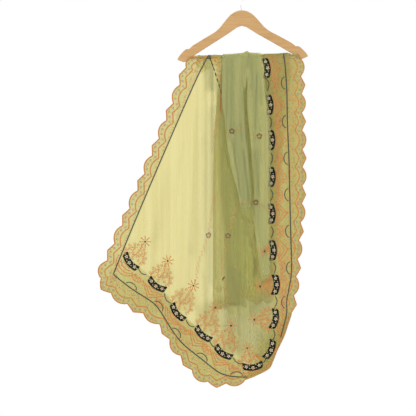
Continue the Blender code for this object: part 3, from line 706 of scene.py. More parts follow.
def threadMaterial(name, deep, light, roughness, sheen=0.3):
    # twisted embroidery thread: short light and dark stitches along each line, painted highlights and shade
    # of the twist
    made, tree, place = newMaterial(name)
    twist = addNode(tree, "TexNoise", {"Vector": place, "Scale": 1 / (2.2 * mm), "Detail": 2.0})
    shader = addNode(tree, "BsdfPrincipled", {
        "Base Color": addNode(tree, "ValToRGB", {"Fac": twist}, stops=[(0.36, deep), (0.64, light)]),
        "Normal": addNode(tree, "Bump", {"Height": twist, "Strength": 0.5, "Distance": 0.4 * mm}),
        "Roughness": roughness, "Sheen Weight": sheen, "Sheen Roughness": 0.4,
    })
    addNode(tree, "OutputMaterial", {"Surface": shader})
    return made


def velvetMaterial():
    # silk velvet, cut pile: nearly black, with a faint green bloom where the pile leans, a painted sheen
    made, tree, place = newMaterial("cut silk velvet")
    pile = addNode(tree, "TexNoise", {"Vector": place, "Scale": 1 / (1.6 * mm), "Detail": 3.0})
    lean = addNode(tree, "TexNoise", {"Vector": place, "Scale": 1 / (18 * mm), "Detail": 1.0})
    shader = addNode(tree, "BsdfPrincipled", {
        "Base Color": addNode(tree, "ValToRGB", {"Fac": lean}, stops=[(0.35, "#0e120e"), (0.68, "#232b22")]),
        "Normal": addNode(tree, "Bump", {"Height": pile, "Strength": 0.6, "Distance": 0.6 * mm}),
        "Roughness": 0.95, "Sheen Weight": 0.35, "Sheen Roughness": 0.35, "Specular IOR Level": 0.1,
    })
    addNode(tree, "OutputMaterial", {"Surface": shader})
    return made


def woodMaterial():
    # lacquered lotus wood: pale honey, fine long grain, a few darker growth lines
    made, tree, place = newMaterial("lacquered lotus wood")
    grainScale, poreScale = ([1 / (size * mm) for size in sizes] for sizes in ((90, 10, 3.5), (8, 1.2, 0.9)))
    grain = addNode(tree, "TexNoise", {
        "Vector": addNode(tree, "Mapping", {"Vector": place, "Scale": grainScale}),
        "Scale": 1.0, "Detail": 6.0, "Roughness": 0.6, "Distortion": 0.4,
    })
    pores = addNode(tree, "TexNoise", {
        "Vector": addNode(tree, "Mapping", {"Vector": place, "Scale": poreScale}),
        "Scale": 1.0, "Detail": 3.0,
    })
    colour = addNode(tree, "ValToRGB", {"Fac": grain}, stops=[
        (0.30, "#a67d47"), (0.48, "#b68d55"), (0.70, "#be9760")])
    lines = addNode(tree, "MapRange", {0: pores, 1: 0.62, 2: 0.74, 3: 0.0, 4: 0.5})
    shader = addNode(tree, "BsdfPrincipled", {
        "Base Color": layOver(tree, colour, [(lines, "#94693a")]),
        "Normal": addNode(tree, "Bump", {"Height": pores, "Strength": 0.15, "Distance": 0.3 * mm}),
        "Roughness": 0.42, "Coat Weight": 0.35, "Coat Roughness": 0.25,
    })
    addNode(tree, "OutputMaterial", {"Surface": shader})
    return made


def steelMaterial():
    # drawn and polished steel wire: fine drawing marks that make it a little rougher
    made, tree, place = newMaterial("drawn steel wire")
    marks = addNode(tree, "TexNoise", {"Vector": place, "Scale": 1 / (1.2 * mm), "Detail": 3.0})
    rough = addNode(tree, "MapRange", {0: marks, 1: 0.3, 2: 0.7, 3: 0.16, 4: 0.32})
    shader = addNode(tree, "BsdfPrincipled", {"Base Color": "#b9b8b2", "Metallic": 1.0, "Roughness": rough})
    addNode(tree, "OutputMaterial", {"Surface": shader})
    return made


organzaLook = {
    "thread": "#a6b37c", "streak": "#b9b77a", "glow": "#e6c674", "tint": (1.0, 0.985, 0.76, 1.0),
    # deep colours and cover: where the cloth lies in more layers, and where shade is painted
    "sheen": 0.15, "deepThread": "#b0ac78", "deepGlow": "#a49f64", "deepCover": 0.25, "deepBorder": 0.26,
    "glowShare": 0.55, "cover": 0.38, "borderCover": 0.50,
    "borderGreen": "#b0ba78", "borderTan": "#c4b974", "borderCopper": "#cf9452", "borderMauve": "#95857a",
}
# The same cloth again in three copies, each with colours and cover of its own for where it lies: the pleats
# paler, the under layer and the back fall a cooler grey green. These differences are painted light and shade.
pleatLook = dict(organzaLook, thread="#ccca92", streak="#c0c48e", glow="#dcdaa0", deepThread="#969c6a",
                 deepGlow="#9ca068", tint=(0.99, 0.995, 0.90, 1.0), glowShare=0.3, cover=0.40, deepCover=0.22)
underLook = dict(organzaLook, thread="#b0bc9c", glow="#cdd8b0", deepThread="#b8c4a4", deepGlow="#c8d4ac",
                 deepCover=0.08, tint=(0.99, 0.992, 0.92, 1.0), cover=0.32)
backLook = dict(organzaLook, thread="#b2bc98", glow="#d4daac", deepThread="#b6c2a0", deepGlow="#b6c296",
                deepCover=0.16, tint=(0.99, 0.99, 0.89, 1.0), cover=0.34)

looks = {
    "organza": organza("shot silk organza", organzaLook),
    "pleat": organza("shot silk organza in folds", pleatLook),
    "under": organza("shot silk organza under the front", underLook),
    "back": organza("shot silk organza of the back fall", backLook),
    "copper": threadMaterial("copper silk thread", "#965c22", "#c8893c", 0.5),
    "fine": threadMaterial("fine copper thread", "#9c6029", "#cf8b44", 0.55),
    "brown": threadMaterial("burnt copper thread", "#73491f", "#a8713a", 0.6),
    "dark": threadMaterial("bottle green thread", "#1b2419", "#3f4a37", 0.6),
    "mauve": threadMaterial("mauve grey thread", "#7d6c66", "#a08f88", 0.6),
    "cream": threadMaterial("cream silk thread", "#bfa983", "#e2d3ae", 0.55),
    "red": threadMaterial("brick red thread", "#93402a", "#b4593a", 0.6),
    "stone": threadMaterial("dark glass stone", "#0b120d", "#1d2a22", 0.15, sheen=0.0),
    "velvet": velvetMaterial(),
    "wood": woodMaterial(),
    "steel": steelMaterial(),
}
print("materials made")


# The cloth, stretch by stretch

def frontOutline():
    first = scallopedPath(edges["shortEnd"] + edges["lowCorner"] + edges["longEdge"])
    turned = smoothPath(edges["turned"], 5.0)[1:-1]
    right = scallopedPath(edges["right"])
    top = [(edges[k][0], barZ(edges[k][0]) + edges[k][1]) for k in ("topRight", "topRightIn")]
    over = [(x, crown(x)) for x in np.linspace(edges["crownRightX"], edges["flapRightX"], 36)]
    flap = [(x, crown(x) + rise) for x, rise in edges["flap"][::-1]]
    return [tuple(map(float, p)) for p in [*first, *turned, *right, *top, *over, *flap]]


# Middle and turn of each velvet patch, from the low left corner round and up to the bar
patch = {"length": 68.0, "width": 24.0, "bow": 9.0, "off": 1.0, "thickness": 1.0, "corner": 0.93}
patches = [
    (-376, -935, -52), (-287, -1013, -36), (-217, -1106, -52), (-131, -1180, -42), (-62, -1242, -36),
    (38, -1289, 8), (96, -1232, 66), (111, -1128, 80), (115, -1013, 88), (105, -896, 92), (101, -772, 92),
    (101, -647, 90), (100, -522, 91), (94, -403, 93), (84, -278, 95),
]
backPatches = [110, 232, 355, 480, 605, 730]
backPatchFromEdge = 119.0
# Dark line 56 mm inside the edge: the short end's, the long edge's, the right side's, and the second end's
darkLines = {
    "left": [(-112, -236), (-120, -250), (-160, -330), (-247, -530), (-340, -748), (-433, -974)],
    "low": [(-433, -974), (-431, -980), (-376, -1023), (-311, -1065), (-282, -1093), (-233, -1169),
            (-193, -1218), (-131, -1268), (-79, -1307), (-48, -1320), (-6, -1326), (20, -1326)],
    "right": [(132, -1193), (137, -1172), (152, -1115), (153, -1068), (160, -1028), (169, -962), (166, -816),
              (163, -686), (161, -588), (156, -468), (154, -364), (148, -267), (144, -240)],
    "second": [(-110, -236), (-96, -274), (-82, -316), (-66, -369)],
}
# Flowers of the sprays that grow from the patches into the field
sprayFlowers = {0: (-326, -867), 1: (-250, -932), 2: (-163, -1016), 3: (-89, -1090), 4: (-36, -1151),
                5: (20, -1228), 7: (43, -1131), 8: (63, -1019), 9: (78, -899)}


def patchLine(step=6.0):
    return smoothPath([(x, z) for x, z, _ in patches], step)


def fieldOutline():
    # the plain field of the front, inside the dark lines and the velvet patches
    inner = patchLine()
    inner = inner - rightOf(inner) * 4.0
    left = [(-112, -238)] + [p for p in darkLines["left"][1:] if p[1] > -880] + [(-398, -893)]
    top = [(66.0, crown(66.0)), (-58.0, crown(-58.0)), (-58.0, -375.0), (-66.0, -369.0), (-88.0, -300.0)]
    return np.array([tuple(map(float, p)) for p in left + list(map(tuple, inner[4:])) + top])


def frontGround(x, s):
    # 1 on the border, weaker round the sprays
    worked = 1 - softStep((depthInside(x, s, fieldOutline()) + 3) / 9)
    for k, flower in sprayFlowers.items():
        middle = mix(np.array(patches[k][:2], float), np.array(flower, float), 0.45)
        away = np.hypot(x - middle[0], s - middle[1]) / 40
        worked = np.maximum(worked, 0.5 * np.exp(-away**3))
    return worked


def frontLayersAndShade(x, s):
    # darker where the cloth lies in more layers and along the crease lines, partly painted shade; raised
    # small creases painted lighter and sunk ones darker, a painted highlight and shade; on the borders darker
    # towards the right side and the foot
    total = softAreas(x, s, frontLayerAndShadeAreas) + softLines(x, s, frontLines) - 0.07 * softLines(x, s, smallCreases)
    worked = softStep((x - 60) / 30) * softStep((-s - 150) / 60) + 0.8 * softStep((-s - 900) / 160)
    return mix(total, np.clip(worked, 0, 1), frontGround(x, s))


def frontThin(x, s):
    # the short end turned over the bar hardly shows through
    return 0.6 * softStep((s - crown(x) - 3) / 10)


def underThin(x, s):
    # the under cloth's fold fades out towards its left edge and its foot
    corners = np.array(underOutline, float)
    corners[:, 1] += np.where(corners[:, 1] > barZ(corners[:, 0]) - 20, 90.0, 0.0)
    gap = insideOutline(np.stack([x, s], axis=1), corners)[1]
    foot = softStep((-s - 1078) / 70)
    fromEdge = gap - 2 - 12 * softStep((-s - 600) / 300)
    return np.maximum(1 - softStep(fromEdge / 30), foot)


def backGround(width, s):
    hem = backShape["length"] + backShape["hemSlope"] * width / backShape["width"]
    band = np.maximum(softStep((140 - width) / 14), 0.6 * softStep((width - (backShape["width"] - 60)) / 12))
    return np.maximum(band, softStep((s - (hem - 52)) / 10))


frontFall = netShell("front_cloth", "front_fall", frontOutline(), onFront, looks["organza"],
                     {"ground": frontGround, "deep": frontLayersAndShade, "thin": frontThin})

underOutline = list(smoothPath(underFoldShape["left"] + underFoldShape["low"] + underFoldShape["right"], 6.0))
underOutline += [(x, crown(x) - 0.2) for x in np.linspace(67, -97, 34)]
underFold = netShell("under_cloth", "under_fold", underOutline, underPlace, looks["under"],
                     {"deep": lambda x, s: x * 0 + 0.6, "thin": underThin})


def pleatLayersAndShade(pleat, turn, s):
    # the roll lies in several layers; along pleatLines its creases are painted darker and its ridges lighter,
    # a painted shade and highlight; faint stripes of gathers, and fewer layers right of x 56
    x = pleatX(pleat, turn, s)[0]
    gathers = 0.07 * np.sin(x / 2.6 + s / 90) + 0.05 * np.sin(x / 1.3 - s / 60)
    return 0.42 + 1.2 * softLines(x, barZ(x) - s, pleatLines) + gathers - 0.25 * softStep((x - 56) / 20)


def pleatThin(pleat, turn, s):
    # sheer at the free right edge and at the foot
    edge = pleat["sheer"] * softStep((np.cos(turn) - 0.70) / 0.2)
    return np.maximum(edge, pleat["footSheer"] * softStep((s - pleat["rows"][-1][0] + 40) / 38))


def pleatShell(name, pleat, node):
    # close rows where the roll turns over the bar, wider ones below it
    top, foot, step = pleat["rows"][0][0], pleat["rows"][-1][0], pleatTurn["rowStep"]
    s = np.concatenate([np.linspace(top, 12, 12), np.arange(12 + step, foot, step), [foot]])
    turn = np.radians(np.linspace(pleatTurn["openDeg"], pleatTurn["shutDeg"], pleatTurn["around"]))
    return gridShell(name, node, turn, s, lambda t, fall: onPleat(pleat, t, fall), looks["pleat"], {
        "deep": lambda t, fall: pleatLayersAndShade(pleat, t, fall), "thin": lambda t, fall: pleatThin(pleat, t, fall)})


pleatLeftShell = pleatShell("left_pleat_cloth", pleatLeft, "pleat_left")
pleatRightShell = pleatShell("right_pleat_cloth", pleatRight, "pleat_right")


def backHem(width, s):
    # the last rows reach down to the scalloped hem
    share = width / backShape["width"]
    scallops = cloth["scallopDepth"] * scallopHeight(share * backShape["scallops"] + 1e-9)
    hem = scallops + backShape["hemSlope"] * share
    return s + hem * softStep((s - (backShape["length"] - 90)) / 90)


def backLayersAndShade(width, s):
    # gathers that start under the bar, painted darker on their ripples' crests and lighter between them, a
    # painted shade; darker near the bar, and in stripes across the width
    gathers = 0.16 * gatherWave(width) * (1 - softStep(s / 420))
    acrossStripes = 0.30 * np.abs(np.sin(width / 52 + 0.4 * np.sin(s / 210)))
    return 0.30 * (1 - softStep(s / 300)) + gathers + acrossStripes


backWidths = np.linspace(0, backShape["width"], backShape["columns"] + 1)
backRows = np.arange(14 + backShape["rowStep"], backShape["length"], backShape["rowStep"])
backDrops = np.concatenate([np.linspace(0, 14, 10), backRows, [backShape["length"]]])
backFall = gridShell("back_cloth", "back_fall", backWidths, backDrops,
                     lambda w, s: onBack(w, backHem(w, s), w * 0), looks["back"],
                     {"ground": backGround, "deep": backLayersAndShade}, flip=True)


def turnedPlace(share, fall):
    # share runs along the turned edge and fall inwards from it
    path = along(smoothPath(edges["turned"], 8.0), 61)
    inward = -rightOf(path)
    at = np.clip(share, 0, 1) * 60
    base = np.stack([np.interp(at, np.arange(61), path[:, k]) for k in range(2)], axis=1)
    side = np.stack([np.interp(at, np.arange(61), inward[:, k]) for k in range(2)], axis=1)
    width = column(turnedShape["widths"], share, 1)
    flat = base + side * mix(1.0, width, fall)[:, None]
    return onFront(flat[:, 0], flat[:, 1], turnedShape["off"])


turnedColumns, turnedRows = (np.linspace(0, 1, turnedShape[key]) for key in ("columns", "rows"))
turnedValues = {"ground": lambda u, v: 1 - softStep(v), "deep": lambda u, v: v * 0 + 0.4,
                "thin": lambda u, v: softStep((v - 0.2) / 0.8)}
turnedBorder = gridShell("turned_cloth", "turned_border", turnedColumns, turnedRows, turnedPlace,
                         looks["organza"], turnedValues)
print("cloth laid")


# Velvet patches

def patchPoint(share, across):
    lengthwise = (share - 0.5) * patch["length"]
    # a curved band whose cut ends flare a little
    ends = np.abs(2 * share - 1)
    narrowing = 0.88 + 0.12 * ends**2 - 0.30 * softStep((ends - patch["corner"]) / (1 - patch["corner"]))
    bow = patch["bow"] * (1 - (2 * share - 1) ** 2) - patch["bow"] / 2
    return lengthwise, (across - 0.5) * patch["width"] * narrowing - bow


def onPatch(spot, u, v, off):
    # u along the patch and v inwards, in mm from its middle
    x, z, turn = spot
    angle = math.radians(turn)
    run, rise = math.cos(angle), math.sin(angle)
    return onFront(x + u * run - v * rise, z + u * rise + v * run, off)


def patchPiece(name, node, place):
    bpy.ops.object.select_all(action="DESELECT")
    bpy.ops.mesh.primitive_grid_add(x_subdivisions=26, y_subdivisions=9, size=1.0)
    item = bpy.context.object
    item.name = item.data.name = name
    flat = np.array([tuple(vert.co) for vert in item.data.vertices])
    share, across = flat[:, 0] + 0.5, flat[:, 1] + 0.5
    u, v = patchPoint(share, across)
    rim = np.minimum(1.0, np.minimum(np.minimum(across, 1 - across) * 5, np.minimum(share, 1 - share) * 16))
    points = place(u, v, patch["off"] + 0.5 * softStep(rim))
    for vert, point in zip(item.data.vertices, points):
        vert.co = point
    applyModifier(item, "Backing", "SOLIDIFY", thickness=patch["thickness"] * mm, offset=0.0)
    item.data.shade_smooth()
    item.data.materials.append(looks["velvet"])
    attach(item, "root")
    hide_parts(node)
    return item


frontPlaces = [lambda u, v, off, spot=spot: onPatch(spot, u, v, off) for spot in patches]
backPlaces = [lambda u, v, off, s=s: onBack(backPatchFromEdge + v, s + u, off) for s in backPatches]
frontPatchPieces = [patchPiece(f"velvet_{k:02d}", f"velvet_patch_{k:02d}", place)
                    for k, place in enumerate(frontPlaces, 1)]
backPatchPieces = [patchPiece(f"back_velvet_{k}", f"back_patch_{k}", place)
                   for k, place in enumerate(backPlaces, 1)]
print("velvet patches placed")


def overTop(points, x):
    # carries a line on over the bar to the crown
    last = points[-1]
    rest = [(mix(last[0], x, t), mix(last[1], crown(x), t)) for t in np.linspace(0, 1, 8)[1:]]
    return list(map(tuple, points)) + rest


frontEdge = edges["shortEnd"] + edges["lowCorner"] + edges["longEdge"]
frontEdgeCorners = np.array(frontOutline())


def onFrontRuns(route, margin):
    # the stretches of a route that lie on the front cloth
    inside, gap = insideOutline(route, frontEdgeCorners)
    steps = np.diff(np.concatenate([[0], inside & (gap > margin), [0]]))
    return [route[a:b] for a, b in zip(np.flatnonzero(steps == 1), np.flatnonzero(steps == -1))]


def keepOnFront(routes, margin=4.0):
    runs = [run for route in routes for run in onFrontRuns(spaced(route, 3.0), margin)]
    return [run for run in runs if len(run) > 2]


secondLeft, secondRight = (max(onFrontRuns(scallopedPath(path, stitch["secondInset"]), 3.0), key=len)
                           for path in (frontEdge, edges["right"]))


def localRoutes(spot, routes):
    # routes in mm along a patch and outwards from its middle, laid on the front's plane
    angle = math.radians(spot[2])
    axes = np.array([[math.cos(angle), math.sin(angle)], [math.sin(angle), -math.cos(angle)]])
    return [np.array(spot[:2]) + np.asarray(route, float) @ axes for route in routes]


def chevrons(pointed):
    # nested lines between a patch and the dark line
    routes = []
    for j in range(4):
        reach, foot = 52 - 11.5 * j, 44 - 9 * j
        if pointed:
            shoulder = mix(15, reach, 0.55)
            routes.append([(-foot, 15 + j), (-foot * 0.5, shoulder), (0, reach), (foot * 0.5, shoulder),
                           (foot, 15 + j)])
        else:
            t = np.linspace(-1, 1, 11)
            routes.append([(foot * a, 15 + j + (reach - 15 - j) * (1 - a * a) ** 0.7) for a in t])
    return routes


def betweenFans():
    # a small shell of rays between two patches, with two arcs over it
    def at(r, a):
        return r * math.sin(a), 16 + r * math.cos(a)

    rays = [[at(r, a) for r in (6, 22)] for a in np.radians(np.linspace(-58, 58, 5))]
    arcs = [[at(r, a) for a in np.radians(np.linspace(-80, 80, 9))] for r in (12, 24)]
    return rays + arcs


def midSpot(a, b):
    line = patchLine(2.0)
    ka = np.argmin(np.linalg.norm(line - np.array(a[:2]), axis=1))
    kb = np.argmin(np.linalg.norm(line - np.array(b[:2]), axis=1))
    k = (ka + kb) // 2
    run = line[min(k + 2, len(line) - 1)] - line[max(k - 2, 0)]
    return (*line[k], math.degrees(math.atan2(run[1], run[0])))


def onDarkLine(spot, route):
    # a route along the dark line and inwards from it, at the place nearest to a spot
    paths = [smoothPath(darkLines[key], 4.0) for key in ("low", "right")]
    gaps = [np.linalg.norm(path - np.array(spot[:2]), axis=1) for path in paths]
    nearest = int(np.argmin([gap.min() for gap in gaps]))
    path, k = paths[nearest], int(np.argmin(gaps[nearest]))
    if not 4 < k < len(path) - 5:
        return []
    run = path[k + 3] - path[k - 3]
    run = run / np.linalg.norm(run)
    inward = np.array(spot[:2]) - path[k]
    inward = inward - run * (inward @ run)
    inward = inward / np.linalg.norm(inward)
    flat = np.asarray(route, float)
    return [path[k] + np.outer(flat[:, 0], run) + np.outer(flat[:, 1], inward)]


arcTurn = np.radians(np.linspace(-88, 88, 11))
darkArc = [(21 * math.sin(a), 3 + 14 * math.cos(a)) for a in arcTurn]
connector = [(-20, -3), (-9, 3), (3, 6), (12, 3), (20, -2)]
fanRoutes, arcRoutes, connectorRoutes = [], [], []
for k, spot in enumerate(patches):
    fanRoutes += localRoutes(spot, chevrons(k != 0))
for a, b in zip(patches, patches[1:]):
    spot = midSpot(a, b)
    arcRoutes += onDarkLine(spot, darkArc)
    connectorRoutes += localRoutes(spot, [connector])
    fanRoutes += localRoutes(spot, betweenFans())
fanRoutes += [[(-98, -240), (-85, -248), (-72, -241)], [(-94, -250), (-82, -260), (-71, -254)],
              [(-90, -264), (-80, -274), (-70, -268)], [(-86, -281), (-78, -290), (-71, -285)],
              [(-82, -298), (-76, -307), (-71, -303)]]
fanRoutes = keepOnFront(fanRoutes)
arcRoutes = keepOnFront(arcRoutes)
connectorRoutes = keepOnFront(connectorRoutes)

s0 = stitch["surface"]
leftEdgeLine = scallopedPath(frontEdge, 1.2)
rightEdgeLine = scallopedPath(edges["right"], 1.2)
turnedEdgeLine = smoothPath(edges["turned"], 5.0)
# the two ends of the dark line meet at the bar in a small knot
knot = [(-109 + 5.5 * math.cos(a), barZ(-109) + 1 + 6.5 * math.sin(a)) for a in np.linspace(0, 2 * np.pi, 15)]
dashRun = spaced(darkLines["second"], 20)
dashes = [[a, mix(a, b, 0.78)] for a, b in zip(dashRun, dashRun[1:])]
innerEdge = [(-62, -238), (-66, -290), (-69, -350), (-71, -405), (-69, -432)]
edgingFront = stitched("edging_cord", [
    cordPieces([leftEdgeLine[4:], rightEdgeLine], stitch["cordWidth"], stitch["cordHeight"], onFront, s0),
    cordPieces([turnedEdgeLine], 2.8, 0.8, onFront, s0),
], looks["copper"])
innerFront = stitched("inner_edge", [
    cordPieces([overTop(smoothPath(innerEdge[::-1], 6), -60)], 5.0, 0.9, onFront, s0),
], looks["brown"])
secondFront = stitched("second_line", [
    cordPieces([secondLeft, secondRight], stitch["secondWidth"], 0.7, onFront, s0),
], looks["copper"])
leftDark = overTop(smoothPath(darkLines["left"][::-1], 6), -110)[::-1]
darkRoutes = [leftDark + list(smoothPath(darkLines["low"], 6)[1:]),
              overTop(smoothPath(darkLines["right"], 6), 143),
              overTop(darkLines["second"][1::-1], -110), knot]
darkFront = stitched("dark_line", [
    cordPieces(darkRoutes + dashes, stitch["darkWidth"], 0.7, onFront, s0 + 0.2),
    cordPieces(arcRoutes + connectorRoutes, stitch["arcWidth"], 0.6, onFront, s0 + 0.2),
], looks["dark"])
fanFront = stitched("fan_stitch", [
    cordPieces(fanRoutes, stitch["fineWidth"], stitch["fineHeight"], onFront, s0),
], looks["fine"])

# Cream flowers on the velvet: three on each patch, five petals round a red stitch, on the patch's curve
flowerSpots = [(u, v - patch["bow"] / 2 + 0.6 + 4.0 * (u / 38) ** 2, size)
               for u, v, size in ((-22.0, 3.0, 13.0), (0.0, -1.2, 14.0), (22.0, 3.0, 13.0))]
# Small leaves between them: u, v and turn
commas = [(-11, 4.4, 0.9), (-11, -6.6, -0.7), (11, 4.4, -0.9), (11, -6.6, 0.7),
          (-31, 2.9, 1.4), (31, 2.9, 1.4)]


def petalsRound(u, v, size, petals=5, start=0.3):
    angles = start + np.arange(petals) * 2 * np.pi / petals
    return [(u + size * 0.29 * math.cos(a), v + size * 0.29 * math.sin(a), a) for a in angles]


creamParts, redParts = [], []
for place in frontPlaces + backPlaces:
    for u, v, size in flowerSpots:
        petals = petalsRound(u, v, size, start=float(rng.uniform(0, 1.2)))
        creamParts.append(bossPieces(petals, size * 0.40, size * 0.24, 0.6, place, 2.1, 6))
        redParts.append(bossPieces([(u, v, 0.0)], 3.0, 3.0, 0.7, place, 2.3, 5))
    creamParts.append(bossPieces(commas, 5.5, 2.0, 0.5, place, 2.1, 5))
creamFlowers = stitched("patch_flowers", creamParts, looks["cream"])
redCentres = stitched("patch_flower_centres", redParts, looks["red"])

vinePlaces = {
    "front": onFront,
    "left": lambda x, s, off: onPleatFront(pleatLeft, x, s, off + 0.8),
    "right": lambda x, s, off: onPleatFront(pleatRight, x, s, off + 0.8),
}

# Sprays that grow from the patches into the field, each with a stone in its flower. Stems and buds of
# a spray: across in mm, and up as a share of the way to its flower
sprayStems = [
    [(0, 0.12), (-4, 0.34), (3, 0.62), (0, 1.04)], [(-26, 0.10), (-34, 0.30), (-30, 0.52), (-22, 0.72)],
    [(26, 0.10), (34, 0.28), (30, 0.48), (22, 0.68)], [(-4, 0.36), (-16, 0.52), (-15, 0.76)],
    [(3, 0.40), (16, 0.54), (14, 0.78)],
]
sprayBuds = [(-24, 0.86), (24, 0.80), (-13, 0.94), (13, 0.92), (-40, 0.40), (40, 0.36),
             (-36, 0.66), (35, 0.60), (-20, 0.30), (18, 0.28)]


def leavesBeside(path, pitch, reach, spread):
    # leaf places on both sides of a stem: x, s and turn
    line = spaced(path, pitch)
    side = rightOf(line)
    run = np.stack([-side[:, 1], side[:, 0]], axis=1)
    places = []
    for k, (p, forward, out) in enumerate(zip(line, run, side)):
        for hand in (-1, 1):
            lean = spread + 0.25 * math.sin(k * 1.9 + hand)
            toward = forward * math.cos(lean) + out * hand * math.sin(lean)
            places.append((*(p + toward * reach), math.atan2(toward[1], toward[0])))
    return places


def sprayParts(spot, flower, sway):
    # stems, leaf places and bud places of the spray between a patch and its flower
    base, top = np.array(spot[:2], float), np.array(flower, float)
    rise = top - base
    height = float(np.linalg.norm(rise))
    rise = rise / height
    side = np.array([rise[1], -rise[0]]) * min(1.0, height / 62)

    def at(u, share):
        return base + side * (u + sway * math.sin(3 * share)) + rise * max(9.0, (height - 18) * share)

    stems = [smoothPath([tuple(at(u, share)) for u, share in stem], 4.0) for stem in sprayStems]
    leaves = [leaf for stem in stems for leaf in leavesBeside(stem, 7.5, 4.8, 0.85)]
    return stems, leaves, [tuple(at(u, share)) for u, share in sprayBuds]


def heldBy(surface, places):
    # places on the front cloth, or on the right pleat's own front
    if surface == "front":
        return places
    return [p for p in places if 66 < p[0] < 93]


pleatSprays = {9}
sprayWork, stoneWork, twigWork = [], [], []
for k, flower in sprayFlowers.items():
    stems, leaves, buds = sprayParts(patches[k], flower, 3.0 * math.sin(2.3 * k))
    surface = "right" if k in pleatSprays else "front"
    place = vinePlaces[surface]
    budPetals = [p for bud in buds for p in petalsRound(*bud, 12.0, 5, float(rng.uniform(0, 1.2)))]
    if surface == "front":
        sprayWork.append(cordPieces(keepOnFront(stems), 1.9, 0.5, place, s0))
    sprayWork.append(bossPieces(heldBy(surface, leaves), 7.0, 3.2, 0.5, place, s0))
    rays = heldBy(surface, petalsRound(*flower, 37.0, 8, 0.2 * k))
    tips = heldBy(surface, petalsRound(*flower, 62.0, 8, 0.2 * k))
    sprayWork.append(bossPieces(rays, 14.0, 3.4, 0.6, place, s0, 6))
    sprayWork.append(bossPieces(tips, 5.0, 5.0, 0.6, place, s0, 6))
    twigWork.append(bossPieces(heldBy(surface, budPetals), 5.2, 3.0, 0.6, place, s0 + 0.1))
    stoneWork.append(bossPieces([(*flower, 0.0)], 7.0, 7.0, 1.6, place, s0 + 0.2, 8))
sprayFront = stitched("spray_stitch", sprayWork, looks["fine"])
budFront = stitched("spray_buds", twigWork, looks["copper"])
stonesFront = stitched("spray_stones", stoneWork, looks["stone"])

# Thin vines in the field: a chain of small leaves, with a flower here and there
vines = {
    "front": [
        [(-63, -416), (-78, -440), (-86, -470), (-92, -500), (-94, -520)],
        [(-93, -709), (-104, -775), (-112, -845)],
        [(-112, -845), (-132, -900), (-148, -947), (-153, -988), (-160, -1006)],
        [(-12, -735), (-28, -780), (-46, -847)],
        [(-46, -847), (-58, -905), (-64, -960), (-61, -991), (-50, -1040), (-42, -1080)],
    ],
    "left": [[(-50, -503), (-33, -493), (-12, -487), (11, -478)], [(-2, -738), (14, -734), (28, -731)]],
    "right": [[(38, -505), (60, -510), (88, -503)], [(44, -734), (60, -739), (76, -748), (90, -762)]],
}
vineFlowers = {"front": [(-112, -845), (-46, -847)], "left": [(-33, -493)], "right": [(60, -510), (48, -734)]}


def leafChain(route, pitch):
    # small leaves on both sides of a line by turns
    path = spaced(smoothPath(route, 3.0), pitch)
    run = np.gradient(path, axis=0)
    places = []
    for k, (p, d) in enumerate(zip(path, run)):
        hand = 1 if k % 2 else -1
        aside = np.array([-d[1], d[0]]) / np.linalg.norm(d) * hand * 2.4
        places.append((*(p + aside), math.atan2(d[1], d[0]) + 0.7 * hand))
    return places


vineParts, vineStones, vinePetals = [], [], []
ringTurns = np.arange(5) * 0.4 * np.pi + 0.3
for key, routes in vines.items():
    for route in routes:
        vineParts.append(bossPieces(leafChain(route, 10.0), 7.5, 4.6, 0.5, vinePlaces[key], s0))
    for x, s in vineFlowers[key]:
        vinePetals.append(bossPieces(petalsRound(x, s, 9.0, 4), 4.5, 3.4, 0.5, vinePlaces[key], s0))
        ring = [(x + 7 * math.cos(a), s + 7 * math.sin(a), a + 1.57) for a in ringTurns]
        vineStones.append(bossPieces(ring, 8.5, 4.2, 0.9, vinePlaces[key], s0 + 0.3, 6))
vineStones.append(bossPieces([(-61, -991, 0.9)], 17.0, 4.5, 0.8, onFront, s0, 8))
vineLeaves = stitched("vine_leaves", vineParts + vinePetals, looks["fine"])
vineStoneWork = stitched("vine_stones", vineStones, looks["stone"])

# Small mauve flowers between the edge and the second line, and dots between that and the dark line
mauvePlaces, dotPlaces = [], []
for path in (frontEdge, edges["right"]):
    smooth = smoothPath(path, 6.0)
    scallops = max(1, round(lengthsAlong(smooth)[-1] / cloth["scallopPitch"]))
    base = along(smooth, scallops * 4 + 1)
    right = rightOf(base)
    turn = np.arange(len(base)) / 4 + 1e-9
    heights = scallopHeight(turn) * cloth["scallopDepth"]
    for k in range(len(base)):
        mauvePlaces.append(tuple(base[k] + right[k] * (heights[k] - 12.0)))
        for inset, shift in ((34.0, 0), (46.0, 1)):
            if (k + shift) % 2 == 0:
                dotPlaces.append(tuple(base[k] + right[k] * (heights[k] * 0.4 - inset)))


def onBorder(spots, margin):
    # which places lie on the front cloth and outside its plain field
    inside, gap = insideOutline(spots, frontEdgeCorners)
    return inside & (gap > margin) & ~insideOutline(spots, fieldOutline())[0]


def onCloth(places, margin):
    places = np.array(places)
    return places[onBorder(places, margin)]


def ticksAlong(path, inset, pitch, lean):
    # short slanting stitches beside the edge
    smooth = smoothPath(path, 6.0)
    line = along(smooth, max(4, round(lengthsAlong(smooth)[-1] / pitch)))
    right = rightOf(line)
    run = np.arctan2(np.gradient(line[:, 1]), np.gradient(line[:, 0]))
    hand = np.where(np.arange(len(line)) % 2 == 0, 1.0, -1.0)
    spots = line - right * (inset + 1.5 * hand)[:, None]
    places = np.concatenate([spots, (run + hand * lean)[:, None]], axis=1)
    return places[onBorder(spots, 4.0)]


tickParts = []
for path in (frontEdge, edges["right"]):
    for inset, pitch, lean in ((-2.0, 8.0, 0.7), (31.0, 9.0, 1.1), (40.0, 8.0, 0.6), (49.0, 9.0, 1.2)):
        tickParts.append(bossPieces(ticksAlong(path, inset, pitch, lean), 6.5, 2.4, 0.4, onFront, s0))
tickFront = stitched("edge_ticks", tickParts, looks["fine"])

